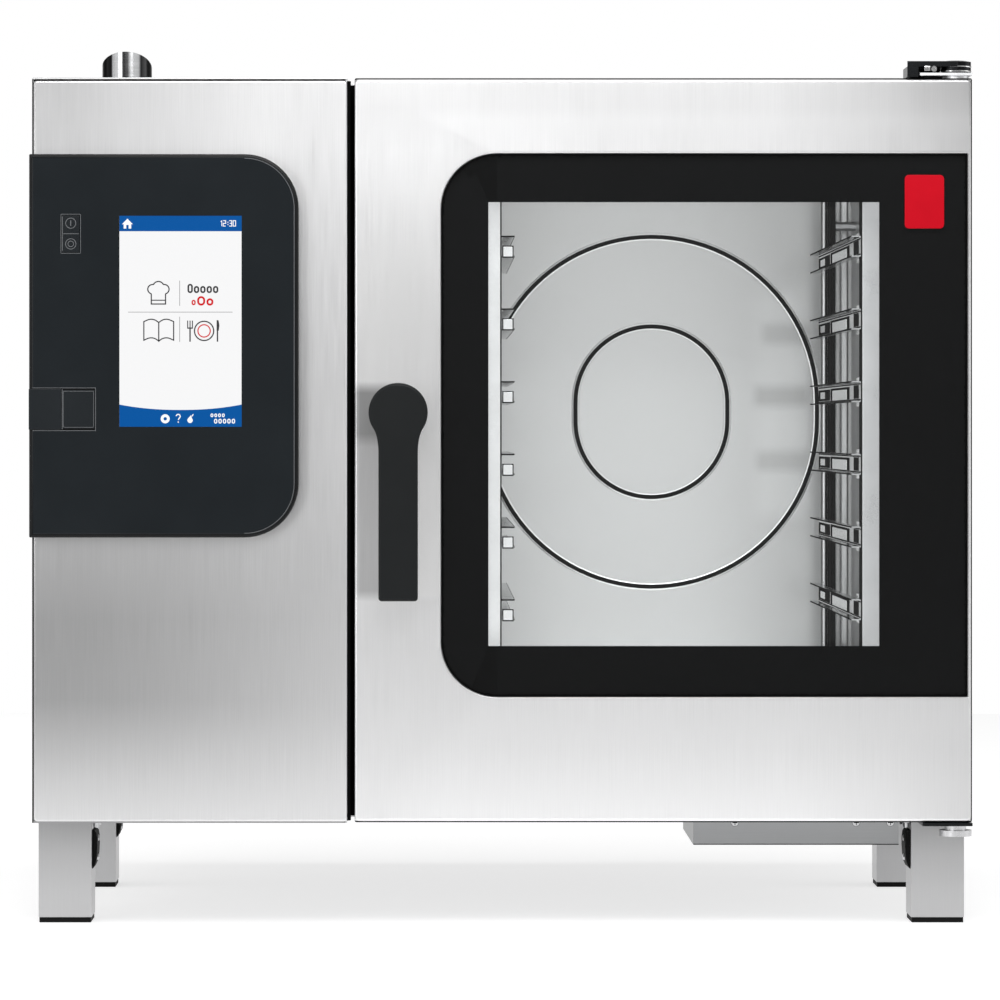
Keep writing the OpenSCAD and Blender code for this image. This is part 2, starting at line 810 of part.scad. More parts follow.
module glass_mask() {
    y0 = y_glass + glass_t;
    color("#101112") along_y(y0, y0 + mask_t) difference() {
        glass_outline();
        translate([window_x0, window_z0]) square([window_x1 - window_x0, window_z1 - window_z0]);
    }
}

module ring(a, b, wall, y0, y1) {
    along_y(y0, y1) difference() {
        translate(a) square(b - a);
        translate(a + [wall, wall]) square(b - a - 2 * [wall, wall]);
    }
}

module door_inner_frame() {
    a = [inner_x0, inner_z0];
    b = [inner_x1, inner_z1];
    one = [1, 1];
    y_ledge = door_back - inner_t - 0.2;
    lip = 2;
    color("lightgray") difference() {
        union() {
            ring(a - (inner_slack + lip) * one, b + (inner_slack + lip) * one, 15, y_glass + glass_t + mask_t,
                y_ledge);
            ring(a - (inner_slack + lip) * one, b + (inner_slack + lip) * one, lip, y_ledge, door_back);
            along_y(door_back - skin_t, door_back) difference() {
                translate([door_x0, door_z0]) square([door_x1 - door_x0, door_z1 - door_z0]);
                translate(a - (inner_slack + lip) * one) square(b - a + 2 * (inner_slack + lip) * one);
            }
        }
        pin_y(handle_x, handle_z, shaft_r + 0.3, door_back - skin_t - 1, door_back + 1);
    }
}

module inner_glass() {
    color([0.6, 0.7, 0.7, 0.3]) block([inner_x0, door_back - inner_t, inner_z0], [inner_x1, door_back, inner_z1]);
}

BLOCK_X0 = 407;
plate_z0 = door_z1 + 2.5;
plate_z1 = plate_z0 + 2.5;
module hinge_blocks() {
    y0 = y_glass + 0.2;
    y1 = hinge_y + 14;
    h = 28;
    z_low = door_z0 + sheet;
    z_high = door_z1 - sheet;
    color("dimgray") difference() {
        union() {
            block([BLOCK_X0, y0, z_low], [door_x1 - sheet, y1, z_low + h]);
            block([BLOCK_X0, y0, z_high - h], [door_x1 - sheet, y1, z_high]);
            translate([0, 0, plate_z0]) linear_extrude(plate_z1 - plate_z0)
                polygon([[388.5, y_front + 1], [door_x1, y_front + 1], [door_x1, y1 + 1], [396, y1 + 1],
                    [388.5, hinge_y - 3]]);
            pin_z(hinge_x, hinge_y, 12, door_z1, plate_z0);
        }
        pin_z(hinge_x, hinge_y, hinge_pin_r + pin_clearance, door_z0 - 1, plate_z1 + 1);
    }
}

// The plain coloured plate on the glass's upper corner.
module door_badge() {
    color("crimson") block([374.2, y_glass - 1.2, 653], [410.9, y_glass, 703]);
}

// ---------- hinges ----------

arm_z0 = z_top + 10.3;
arm_z1 = z_top + 15.3;
boss_z0 = plate_z1 + 0.4;
module hinge_bracket_top() {
    x0 = 376.6;
    x1 = x_right;
    y0 = y_front + 1;
    y1 = -200;
    taper = 18;
    color("gray") difference() {
        union() {
            translate([0, 0, arm_z0]) linear_extrude(arm_z1 - arm_z0) union() {
                polygon([[x0, y0], [hinge_x, y0], [x1, hinge_y], [x1, y1], [x0 + taper, y1]]);
                translate([hinge_x, hinge_y]) circle(hinge_disc_r - 0.9);
            }
            pin_z(hinge_x, hinge_y, hinge_disc_r - 0.9, boss_z0, arm_z0);
            translate([0, 0, z_top]) linear_extrude(arm_z0 - z_top)
                polygon([[x0 + 9, y_frame + 2], [x1, y_frame + 2], [x1, y1], [x0 + taper, y1]]);
            block([x0, y0, z_top + 0.6], [x0 + 10.4, y0 + 40, arm_z0]);
        }
        pin_z(hinge_x, hinge_y, hinge_pin_r, z_top, arm_z1 + 1);
    }
}

module hinge_bracket_bottom() {
    z0 = z_base - leg_plate_t;
    color("gray") difference() {
        union() {
            block([391, y_front + 1, z0], [x_right - 0.2, front_leg_y, z_base]);
            block([x_right - leg_w, front_leg_y, z0], [x_right - 0.2, front_leg_y + leg_w, z_base]);
        }
        pin_z(hinge_x, hinge_y, hinge_pin_r, z0 - 1, z_base + 1);
    }
}

module hinge_pins() {
    z0 = z_base - leg_plate_t;
    color("silver") {
        pin_z(hinge_x, hinge_y, hinge_pin_r, z_base - 13, door_z0 + 26);
        pin_z(hinge_x, hinge_y, 10, z_base - 8, z0);
        pin_z(hinge_x, hinge_y, hinge_disc_r - 0.3, z_base - 13, z_base - 7.5);
        pin_z(hinge_x, hinge_y, hinge_pin_r, door_z1 - 26, arm_z1);
    }
}

// ---------- handle and latch ----------

// Outline of the handle with its pivot at the origin and its bar pointing down.
module handle_outline() {
    r = handle_head_r;
    w = handle_bar_w / 2;
    corner = 3;
    neck_top = -10;
    neck_end = -34;
    circle(r);
    polygon([[-sqrt(r * r - neck_top * neck_top), neck_top], [sqrt(r * r - neck_top * neck_top), neck_top],
        [w, neck_end], [-w, neck_end]]);
    translate([-w, -handle_reach + corner]) square([2 * w, handle_reach - corner]);
    translate([-w + corner, -handle_reach]) square([2 * w - 2 * corner, corner + 1]);
    for (s = [-1, 1]) translate([s * (w - corner), -handle_reach + corner]) circle(corner);
}

module door_handle() {
    color("#1e1f20") {
        along_y(y_handle, y_handle + handle_bar_t) translate([handle_x, handle_z]) handle_outline();
        pin_y(handle_x, handle_z, 22, y_handle + handle_bar_t, y_front - 0.3);
    }
}

cam_y0 = door_back + 1;
cam_y1 = door_back + 6;
module handle_shaft() {
    color("silver") {
        pin_y(handle_x, handle_z, shaft_r, y_front - 0.3, cam_y1);
        along_y(cam_y0, cam_y1) translate([handle_x, handle_z]) {
            circle(14);
            translate([-24, -7]) square([24, 14]);
        }
    }
}

module latch_keeper() {
    x = handle_x - 26.6;
    color("silver") {
        block([x - 10, y_frame - 6, handle_z - 20], [x, y_frame, handle_z + 20]);
        block([x - 10, y_frame - 2, handle_z - 32], [x, y_frame, handle_z + 32]);
    }
}

// ---------- assembly ----------

base_pan();
side_panel_left();
side_panel_right();
top_panel();
rear_panel();
column_front();
front_frame();
chamber_liner();
wall_beads();
insulation();
suction_panel();
rack_left();
rack_right();
rack_studs();
heating_ring();
fan_motor();
fan_wheel();
fan_shaft();
steam_generator();
steam_pipe();
drain_pipe();
floor_sieve();
chamber_lamps();
vent_pipe();
control_housing();
control_glass();
display_module();
power_rocker();
usb_socket();
usb_cover();
circuit_board();
contactors();
cooling_fan_frame();
cooling_rotor();
water_valves();
cable_gland();
terminal_cover();
door_gasket();
legs();
leg_clamps();
glide_front_left();
glide_front_right();
glide_rear_left();
glide_rear_right();
drip_collector();
collector_screws();
hinge_bracket_top();
hinge_bracket_bottom();
hinge_pins();
latch_keeper();
panel_screws();
door_frame();
outer_glass();
glass_mask();
door_inner_frame();
inner_glass();
hinge_blocks();
door_badge();
door_handle();
handle_shaft();
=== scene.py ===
# Combi steamer oven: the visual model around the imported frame. Metres, +Z up, the front faces -Y.
import json
import math

import bmesh
import bpy
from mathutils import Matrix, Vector, geometry

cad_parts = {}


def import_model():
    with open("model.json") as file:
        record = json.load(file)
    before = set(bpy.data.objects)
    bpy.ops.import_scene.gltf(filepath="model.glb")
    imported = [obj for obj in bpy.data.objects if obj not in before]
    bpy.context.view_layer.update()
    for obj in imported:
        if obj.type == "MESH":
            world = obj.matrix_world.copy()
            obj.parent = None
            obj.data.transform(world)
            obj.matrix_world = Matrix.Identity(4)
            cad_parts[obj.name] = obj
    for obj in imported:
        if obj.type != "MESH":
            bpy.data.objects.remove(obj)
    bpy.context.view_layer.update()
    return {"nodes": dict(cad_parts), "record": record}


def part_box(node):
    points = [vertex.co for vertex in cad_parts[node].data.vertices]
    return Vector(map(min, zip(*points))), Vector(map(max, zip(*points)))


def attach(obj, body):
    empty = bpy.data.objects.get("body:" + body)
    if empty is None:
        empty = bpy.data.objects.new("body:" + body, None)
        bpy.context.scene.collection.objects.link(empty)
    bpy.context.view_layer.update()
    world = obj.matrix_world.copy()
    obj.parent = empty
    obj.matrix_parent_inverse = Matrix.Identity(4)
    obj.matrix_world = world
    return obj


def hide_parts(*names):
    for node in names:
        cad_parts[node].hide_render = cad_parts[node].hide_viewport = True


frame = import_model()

NODES = frame["nodes"]
MM = 0.001
TONE_RANGE = 1.5  # the highest tone that a ramp can hold
BROAD, DRIFT = 0.15, 0.012  # share of wide streaks in the brushing, and the sheet's cloudiness
# painted reflections round the vent tube: its bright and dark bands once round it: (share of the turn, level)
TUBE_REFLECTION_BANDS = [(0.0, 0.04), (0.10, 0.30), (0.18, 0.95), (0.26, 0.20), (0.34, 0.85), (0.42, 0.15),
                (0.50, 0.008), (0.655, 0.008), (0.680, 1.0), (0.716, 1.2), (0.732, 0.12), (0.764, 0.10),
                (0.782, 0.7), (0.80, 1.1), (0.836, 0.85), (0.852, 0.02), (0.90, 0.07), (0.96, 0.01), (1.0, 0.02)]
VENT = (-368.0, -50.0)  # the vent tube's axis, x and y in millimetres
HINGE = (423.0, -334.0)  # the hinge pins' axis, the same way


def mm(*values):
    return tuple(v * MM for v in values)


def box_mm(node):
    """A node's lowest and highest corners, in millimetres."""
    return [[v / MM for v in corner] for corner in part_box(node)]


def seen_from_front(box):
    """A box's limits in the front's plane: x0, z0, x1, z1."""
    (x0, _, z0), (x1, _, z1) = box
    return x0, z0, x1, z1


# ---- main planes, from the frame

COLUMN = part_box("column_front")
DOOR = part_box("door_frame")
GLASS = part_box("outer_glass")
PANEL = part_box("control_housing")
PANEL_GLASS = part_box("control_glass")
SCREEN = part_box("display_module")
Y_FRONT = COLUMN[0][1]
Z_BASE = COLUMN[0][2]
Z_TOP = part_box("top_panel")[1][2]
Y_PANEL = PANEL_GLASS[0][1]
# the visible part of the outer pane, x0, z0, x1, z1, and the radius of its two left corners
OPENING = (GLASS[0][0] + 0.003, GLASS[0][2] + 0.003, 0.4325, GLASS[1][2] - 0.003)
GLASS_CORNER = 0.052
FOLD = 0.0012  # how far the skins' folded edge, painted black as shade, stands outside their front face


# ---- node helpers


class Tree:
    """Builds nodes and their links."""

    def __init__(self, tree):
        self.tree = tree

    def node(self, kind, **values):
        n = self.tree.nodes.new(kind)
        for key, value in values.items():
            if key in n.inputs:
                self.put(n.inputs[key], value)
            else:
                setattr(n, key, value)
        return n

    def put(self, socket, value):
        if isinstance(value, bpy.types.NodeSocket):
            self.tree.links.new(value, socket)
        else:
            socket.default_value = value


class Graph(Tree):
    """Builds one material's nodes."""

    def __init__(self, name):
        self.mat = bpy.data.materials.new(name)
        self.mat.use_nodes = True
        super().__init__(self.mat.node_tree)
        self.bsdf = self.tree.nodes["Principled BSDF"]
        self.coords = None

    def set(self, **values):
        for key, value in values.items():
            self.put(self.bsdf.inputs[key.replace("_", " ")], value)

    def position(self, scale=(1, 1, 1)):
        """Object coordinates, which are the row frame for every piece here."""
        if self.coords is None:
            self.coords = self.node("ShaderNodeTexCoord").outputs["Object"]
        m = self.node("ShaderNodeMapping")
        self.put(m.inputs["Vector"], self.coords)
        m.inputs["Scale"].default_value = scale
        return m.outputs["Vector"]

    def axes(self):
        """The position's X, Y and Z."""
        split = self.node("ShaderNodeSeparateXYZ")
        self.put(split.inputs[0], self.position())
        return split.outputs

    def noise(self, scale, detail=2.0, roughness=0.5):
        n = self.node("ShaderNodeTexNoise", Detail=detail, Roughness=roughness)
        n.inputs["Scale"].default_value = 1.0
        self.put(n.inputs["Vector"], self.position(scale))
        return n.outputs["Fac"]

    def span(self, value, low, high, from_low=0.3, from_high=0.7):
        n = self.node("ShaderNodeMapRange")
        self.put(n.inputs["Value"], value)
        n.inputs["From Min"].default_value = from_low
        n.inputs["From Max"].default_value = from_high
        n.inputs["To Min"].default_value = low
        n.inputs["To Max"].default_value = high
        return n.outputs["Result"]

    def math(self, operation, a, b):
        n = self.node("ShaderNodeMath", operation=operation)
        self.put(n.inputs[0], a)
        self.put(n.inputs[1], b)
        return n.outputs[0]

    def shade(self, colour, factor):
        """The colour times a value."""
        n = self.node("ShaderNodeVectorMath", operation="SCALE")
        self.put(n.inputs[0], tuple(colour[:3]))
        self.put(n.inputs["Scale"], factor)
        return n.outputs[0]

    def bump(self, height, strength, distance):
        n = self.node("ShaderNodeBump")
        n.inputs["Strength"].default_value = strength
        n.inputs["Distance"].default_value = distance
        self.put(n.inputs["Height"], height)
        self.put(self.bsdf.inputs["Normal"], n.outputs["Normal"])


def set_stops(ramp, stops):
    """Grey stops of a colour ramp: (place, level)."""
    points = ramp.color_ramp.elements
    for place, _ in stops[1:-1]:
        points.new(place)
    for point, (place, level) in zip(points, stops):
        point.position = place
        point.color = (level, level, level, 1)


def height_tone(g, stops):
    """A tone that changes with height: stops are (height in metres, tone)."""
    ramp = g.node("ShaderNodeValToRGB")
    g.put(ramp.inputs["Fac"], g.axes()["Z"])
    set_stops(ramp, [(height, tone / TONE_RANGE) for height, tone in stops])
    return g.math("MULTIPLY", ramp.outputs["Color"], TONE_RANGE)


def sheet_tone(g, x0, x1, power, low, high):
    """Painted light and shade that change slowly across the sheet, from the low end's tones to the high end's."""
    across = g.math("POWER", g.span(g.axes()["X"], 0.0, 1.0, x0, x1), power)
    a, b = height_tone(g, low), height_tone(g, high)
    return g.math("ADD", a, g.math("MULTIPLY", g.math("SUBTRACT", b, a), across))


def patch_tone(g, x, z, soft, tone):
    """A soft-edged area of the sheet painted darker or lighter than the rest: painted shade or painted light."""
    at = g.axes()
    inside = g.span(at["X"], 0.0, 1.0, x[0] - soft, x[0])
    for axis, low, high, a, b in (("X", 1.0, 0.0, x[1], x[1] + soft), ("Z", 0.0, 1.0, z[0] - soft, z[0]),
                                  ("Z", 1.0, 0.0, z[1], z[1] + soft)):
        inside = g.math("MULTIPLY", inside, g.span(at[axis], low, high, a, b))
    return g.span(inside, 1.0, tone, 0.0, 1.0)


def brushed(name, colour, rough, grain="z", aniso=0.5, depth=0.05, contrast=0.035, painted_light=(), shade=()):
    """Brushed stainless steel with its grain along one axis. Its last two arguments paint light and shade into its
    tone by place.
    """
    g = Graph(name)
    fine = {"x": (16, 1400, 1400), "y": (1400, 16, 1400), "z": (1400, 1400, 16)}[grain]
    wide = {"x": (5, 330, 330), "y": (330, 5, 330), "z": (330, 330, 5)}[grain]
    streak = g.noise(fine, 4.0, 0.65)
    band = g.noise(wide, 3.0, 0.55)
    cloud = g.noise((3.1, 3.1, 2.3), 3.0, 0.5)
    both = g.math("ADD", g.math("MULTIPLY", streak, 1 - BROAD), g.math("MULTIPLY", band, BROAD))
    tone = g.math("MULTIPLY", g.span(both, 1 - contrast, 1 + contrast), g.span(cloud, 1 - DRIFT, 1 + DRIFT))
    for change in painted_light:
        tone = g.math("MULTIPLY", tone, sheet_tone(g, *change))
    for patch in shade:
        tone = g.math("MULTIPLY", tone, patch_tone(g, *patch))
    g.set(Metallic=1.0, Base_Color=g.shade(colour, tone))
    g.set(Roughness=g.math("ADD", g.span(both, rough - 0.03, rough + 0.03), g.span(cloud, -0.015, 0.015)))
    if aniso:
        t = g.node("ShaderNodeTangent", direction_type="RADIAL", axis="Z")
        g.set(Anisotropic=aniso, Tangent=t.outputs["Tangent"])
    g.bump(both, depth, 0.0001)
    return g.mat


def satin_metal(name, colour, rough, metallic=1.0, mottling=0.04, grain=900):
    """Machined, cast or polished metal with a fine mottled finish."""
    g = Graph(name)
    fine = g.noise((grain, grain, grain), 3.0, 0.6)
    soft = g.noise((30, 30, 30), 3.0, 0.55)
    g.set(Metallic=metallic, Base_Color=g.shade(colour, g.span(soft, 1 - mottling, 1 + mottling)))
    g.set(Roughness=g.math("ADD", g.span(fine, rough - 0.03, rough + 0.03), g.span(soft, -0.03, 0.03)))
    g.bump(fine, 0.04, 0.0001)
    return g.mat


def drawn_tube(name, colour, rough, centre):
    """Polished tube with painted reflections: soft bright and dark streaks along its length, round a vertical axis.
    """
    g = Graph(name)
    at = g.axes()
    x = g.math("SUBTRACT", at["X"], centre[0])
    y = g.math("SUBTRACT", at["Y"], centre[1])
    angle = g.math("ARCTAN2", y, x)
    ramp = g.node("ShaderNodeValToRGB")
    g.put(ramp.inputs["Fac"], g.math("FRACT", g.math("MULTIPLY", angle, 1 / math.tau), 0.0))
    set_stops(ramp, TUBE_REFLECTION_BANDS)
    fine = g.noise((40, 40, 900), 3.0, 0.6)
    tone = g.math("MULTIPLY", ramp.outputs["Color"], g.span(fine, 0.9, 1.1))
    g.set(Metallic=1.0, Base_Color=g.shade(colour, tone), Roughness=g.span(fine, rough - 0.03, rough + 0.03))
    return g.mat


def plastic(name, colour, rough, grain=0.15, size=1100, coat=0.0, gloss=0.5):
    """Moulded plastic or rubber with a fine leathery grain."""
    g = Graph(name)
    fine = g.noise((size, size, size), 2.0, 0.5)
    soft = g.noise((18, 18, 18), 3.0, 0.5)
    g.set(Base_Color=g.shade(colour, g.span(soft, 0.94, 1.06)))
    g.set(Roughness=g.math("ADD", g.span(fine, rough - 0.03, rough + 0.03), g.span(soft, -0.02, 0.02)))
    g.set(Coat_Weight=coat, Coat_Roughness=0.04, Specular_IOR_Level=gloss)
    g.bump(fine, grain, 0.00012)
    return g.mat


def printed(name, colour, rough=0.35, glow=0.0):
    """Ink or a lit area of the screen."""
    g = Graph(name)
    fine = g.noise((2200, 2200, 2200), 1.0, 0.5)
    g.set(Base_Color=g.shade(colour, g.span(fine, 0.97, 1.03)))
    g.set(Roughness=g.span(fine, rough - 0.03, rough + 0.03))
    if glow:
        g.set(Base_Color=g.shade(colour, g.span(fine, 0.05, 0.06)), Specular_IOR_Level=0.1)
        g.set(Emission_Color=g.shade(colour, g.span(fine, 0.985, 1.015)), Emission_Strength=glow)
    return g.mat


def thin_glass(name, tint, gloss):
    """A thin pane: it lets light straight through and reflects at its surface."""
    g = Graph(name)
    smear = g.noise((5, 5, 9), 4.0, 0.6)
    clear = g.node("ShaderNodeBsdfTransparent")
    clear.inputs["Color"].default_value = (*tint, 1)
    mirror = g.node("ShaderNodeBsdfGlossy")
    g.put(mirror.inputs["Roughness"], g.span(smear, 0.012, 0.03))
    mirror.inputs["Color"].default_value = (1, 1, 1, 1)
    edge = g.node("ShaderNodeFresnel")
    edge.inputs["IOR"].default_value = 1.45
    mix = g.node("ShaderNodeMixShader")
    g.put(mix.inputs[0], g.math("MULTIPLY", edge.outputs[0], gloss))
    g.put(mix.inputs[1], clear.outputs[0])
    g.put(mix.inputs[2], mirror.outputs[0])
    out = g.tree.nodes["Material Output"]
    g.put(out.inputs["Surface"], mix.outputs[0])
    return g.mat


STEEL = brushed("steel_brushed", (0.84, 0.84, 0.845), 0.34)
# STEEL_DOOR is a lighter copy of the cabinet's steel, and its tones are painted light and shade: bands by height,
# darker towards the right edge, a painted shadow of the handle at its left and a painted lighter patch at its right
STEEL_DOOR = brushed("steel_brushed_door", (0.93, 0.93, 0.935), 0.34, painted_light=[
    (-0.12, -0.05, 1.0,
     [(0.1, 0.93), (0.17, 0.90), (0.26, 0.93), (0.36, 1.08), (0.52, 1.10), (0.56, 1.16), (0.60, 1.10),
      (0.65, 1.06), (0.69, 1.06), (0.725, 1.01), (0.753, 0.89), (0.765, 0.84), (0.8, 0.78)],
     [(0.1, 0.99), (0.17, 0.93), (0.26, 0.95), (0.36, 1.05), (0.52, 1.08), (0.56, 1.16), (0.60, 1.12),
      (0.65, 1.07), (0.69, 1.08), (0.725, 1.03), (0.753, 0.95), (0.765, 0.87), (0.78, 0.82), (0.8, 0.79)]),
    (0.26, 0.437, 1.4, [(0.1, 1.0), (0.8, 1.0)],
     [(0.10, 0.78), (0.20, 0.90), (0.30, 0.9), (0.70, 0.74), (0.753, 0.73), (0.785, 0.64), (0.8, 0.61)]),
], shade=[((-0.132, -0.096), (0.316, 0.500), 0.010, 0.64), ((-0.132, -0.096), (0.462, 0.500), 0.012, 0.62),
          ((-0.080, -0.060), (0.320, 0.450), 0.014, 1.18)])
# STEEL_COLUMN's tones are painted light and shade: darker towards the left, most of all low down, lighter towards
# the right, and a painted lighter patch near the top
STEEL_COLUMN = brushed("steel_brushed_column", (0.80, 0.80, 0.805), 0.34, contrast=0.05, painted_light=[
    (-0.437, -0.145, 1.6,
     [(0.10, 0.90), (0.14, 0.79), (0.177, 0.65), (0.214, 0.51), (0.29, 0.52), (0.355, 0.66), (0.50, 0.8),
      (0.73, 0.80), (0.79, 0.66)],
     [(0.10, 0.98), (0.14, 0.94), (0.20, 0.88), (0.29, 0.92), (0.36, 1.04), (0.45, 1.18), (0.60, 1.22),
      (0.68, 1.2), (0.73, 1.08), (0.79, 0.9)]),
], shade=[((-0.35, -0.22), (0.72, 0.80), 0.05, 1.09)])
STEEL_TOP = brushed("steel_brushed_top", (0.70, 0.70, 0.705), 0.34, grain="x", aniso=0.0)
STEEL_FRAME = brushed("steel_frame", (0.62, 0.62, 0.625), 0.36, aniso=0.3)
STEEL_BASE = brushed("steel_base", (0.34, 0.34, 0.345), 0.42, grain="x", aniso=0.0)
STEEL_SIDE = brushed("steel_brushed_side", (0.58, 0.58, 0.585), 0.36, aniso=0.4)
# LEG_TONES are painted shade: the legs darker towards the top, under the base
LEG_TONES = [(0.0, 1.12), (0.03, 1.06), (0.065, 0.94), (0.1, 0.66)]
STEEL_LEG = brushed("steel_leg", (0.50, 0.50, 0.505), 0.36, aniso=0.3, contrast=0.03,
                    painted_light=[(-1.0, 1.0, 1.0, LEG_TONES, LEG_TONES)])
# at the right of the rear wall, painted reflections: a lighter area and three soft darker stretches at three rails'
# heights
STEEL_INNER = brushed("steel_chamber", (0.82, 0.82, 0.82), 0.36, grain="x", aniso=0.0, depth=0.02, contrast=0.02,
                      shade=[((0.292, 0.318), (0.385, 0.600), 0.022, 1.12),
                             ((0.292, 0.330), (0.563, 0.573), 0.012, 0.80),
                             ((0.284, 0.330), (0.497, 0.506), 0.012, 0.76),
                             ((0.286, 0.330), (0.428, 0.437), 0.012, 0.80)])
STEEL_RACK = satin_metal("steel_rack", (0.84, 0.84, 0.845), 0.22)
# STEEL_RAIL is a darker copy of the rack's steel: painted shade on the rails; the trough's screws use it too
STEEL_RAIL = satin_metal("steel_rail", (0.52, 0.525, 0.53), 0.20, mottling=0.10)
STEEL_PART = satin_metal("steel_part", (0.62, 0.62, 0.63), 0.30)
# the bead lines' near-white steel is a painted highlight on their lips
STEEL_BEAD_HIGHLIGHT = satin_metal("steel_bead_highlight", (0.98, 0.98, 0.98), 0.30, mottling=0.01)
STEEL_POLISHED = satin_metal("steel_polished", (0.82, 0.82, 0.82), 0.10, mottling=0.02)
STEEL_DARK = satin_metal("steel_dark", (0.018, 0.019, 0.020), 0.24)
STEEL_TROUGH = brushed("steel_trough", (0.33, 0.335, 0.34), 0.38, grain="x", aniso=0.0, contrast=0.04)
VENT_TUBE = drawn_tube("vent_tube", (0.84, 0.85, 0.86), 0.16, mm(*VENT))
ALUMINIUM = satin_metal("aluminium_cast", (0.72, 0.73, 0.74), 0.38, mottling=0.07)
HEATER = satin_metal("heater_sheath", (0.16, 0.14, 0.13), 0.45, mottling=0.2)
MOTOR = satin_metal("motor_paint", (0.10, 0.11, 0.13), 0.4, metallic=0.3)
# SHADOW is black put where there is only shade: painted shade on folded edges and in gaps, grooves, slots and
# corners
SHADOW = plastic("painted_shade_black", (0.002, 0.002, 0.002), 0.85, grain=0.1, gloss=0.04)
WOOL = plastic("mineral_wool", (0.5, 0.44, 0.24), 0.9, grain=0.8, size=300)
BLACK = plastic("plastic_black", (0.010, 0.011, 0.012), 0.42)
BLACK_GLOSS = plastic("plastic_gloss", (0.010, 0.012, 0.013), 0.18, grain=0.02, coat=0.3)
HANDLE = plastic("handle_black", (0.0085, 0.0095, 0.0100), 0.42, grain=0.22, size=1500, gloss=0.12)
RUBBER = plastic("rubber_black", (0.005, 0.005, 0.005), 0.62, grain=0.3, gloss=0.10)
CREAM = plastic("plastic_cream", (0.62, 0.59, 0.50), 0.4)
BOARD = plastic("circuit_board", (0.015, 0.10, 0.04), 0.35)
PANEL_BLACK = plastic("panel_glass", (0.0078, 0.0102, 0.0122), 0.16, grain=0.0, gloss=0.30)
PANEL_RIM = plastic("panel_rim", (0.003, 0.0035, 0.004), 0.35, grain=0.05, gloss=0.2)
PANEL_LINE = printed("panel_line", (0.10, 0.105, 0.11), 0.4)
PANEL_KEY = plastic("panel_key", (0.0085, 0.0108, 0.0128), 0.30, grain=0.1, gloss=0.2)
MASK = plastic("mask_print", (0.0018, 0.0022, 0.0026), 0.5, grain=0.02, gloss=0.05)
RED = plastic("badge_red", (0.43, 0.0, 0.008), 0.40, grain=0.05, gloss=0.10)
PLATE = printed("rating_plate", (0.62, 0.63, 0.64), 0.4)
LAMP = printed("lamp_frosted", (1.0, 0.98, 0.94), 0.4, glow=1.2)
DOOR_GLASS = thin_glass("door_glass", (0.96, 0.965, 0.965), 0.9)
INNER_GLASS = thin_glass("inner_glass", (0.97, 0.975, 0.975), 0.4)
SCREEN_LIGHT = printed("screen_light", (0.88, 0.88, 0.885), 0.25, glow=0.98)
SCREEN_BLUE = printed("screen_blue", (0.0, 0.085, 0.33), 0.3, glow=1.0)
SCREEN_WHITE = printed("screen_white", (0.95, 0.95, 0.95), 0.3, glow=1.0)
SCREEN_GREY = printed("screen_grey", (0.045, 0.045, 0.048), 0.3, glow=1.0)
SCREEN_PALE = printed("screen_pale", (0.20, 0.20, 0.205), 0.3, glow=1.0)
SCREEN_RED = printed("screen_red", (0.62, 0.01, 0.015), 0.3, glow=1.0)

BY_SLOT = {
    "steel_panel": STEEL,
    "steel_inner": STEEL_INNER,
    "steel_polished": STEEL_POLISHED,
    "steel_grey": STEEL_DARK,
    "steel_part": STEEL_PART,
    "wool": WOOL,
    "heater": HEATER,
    "motor": MOTOR,
    "aluminium": ALUMINIUM,
    "plastic_black": BLACK,
    "plastic_gloss": BLACK_GLOSS,
    "handle_black": HANDLE,
    "plastic_light": CREAM,
    "board": BOARD,
    "panel_glass": PANEL_BLACK,
    "screen": SCREEN_LIGHT,
    "lamp": LAMP,
    "gasket": RUBBER,
    "glide_black": RUBBER,
    "door_glass": DOOR_GLASS,
    "mask_print": MASK,
    "badge_red": RED,
}
BY_NODE = {
    "side_panel_left": STEEL_SIDE,
    "side_panel_right": STEEL_SIDE,
    "rear_panel": STEEL_SIDE,
    "top_panel": STEEL_TOP,
    "base_pan": STEEL_BASE,
    "front_frame": STEEL_FRAME,
    "door_inner_frame": STEEL_FRAME,
    "legs": STEEL_LEG,
    "rack_left": STEEL_RACK,
    "rack_right": STEEL_RACK,
    "inner_glass": INNER_GLASS,
    "drip_collector": STEEL_TROUGH,
    "terminal_cover": STEEL_PART,
    "vent_pipe": VENT_TUBE,
}


# ---- mesh helpers


def finish_mesh(mesh, angle=30.0):
    """Smooth faces, with edges sharper than the angle left sharp."""
    for p in mesh.polygons:
        p.use_smooth = True
    mesh.set_sharp_from_angle(angle=math.radians(angle))


def flat_faces_stay_flat(obj):
    m = obj.modifiers.new("normals", "WEIGHTED_NORMAL")
    m.mode = "FACE_AREA"
    m.weight = 100
    m.keep_sharp = True


def piece(name, bm, material, body, node=(), angle=30.0):
    mesh = bpy.data.meshes.new(name)
    bmesh.ops.recalc_face_normals(bm, faces=bm.faces)
    bm.to_mesh(mesh)
    bm.free()
    finish_mesh(mesh, angle)
    for m in material if isinstance(material, (list, tuple)) else [material]:
        mesh.materials.append(m)
    obj = bpy.data.objects.new(name, mesh)
    bpy.context.scene.collection.objects.link(obj)
    flat_faces_stay_flat(obj)
    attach(obj, body)
    nodes = [node] if isinstance(node, str) else list(node)
    if nodes:
        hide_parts(*nodes)
    return obj


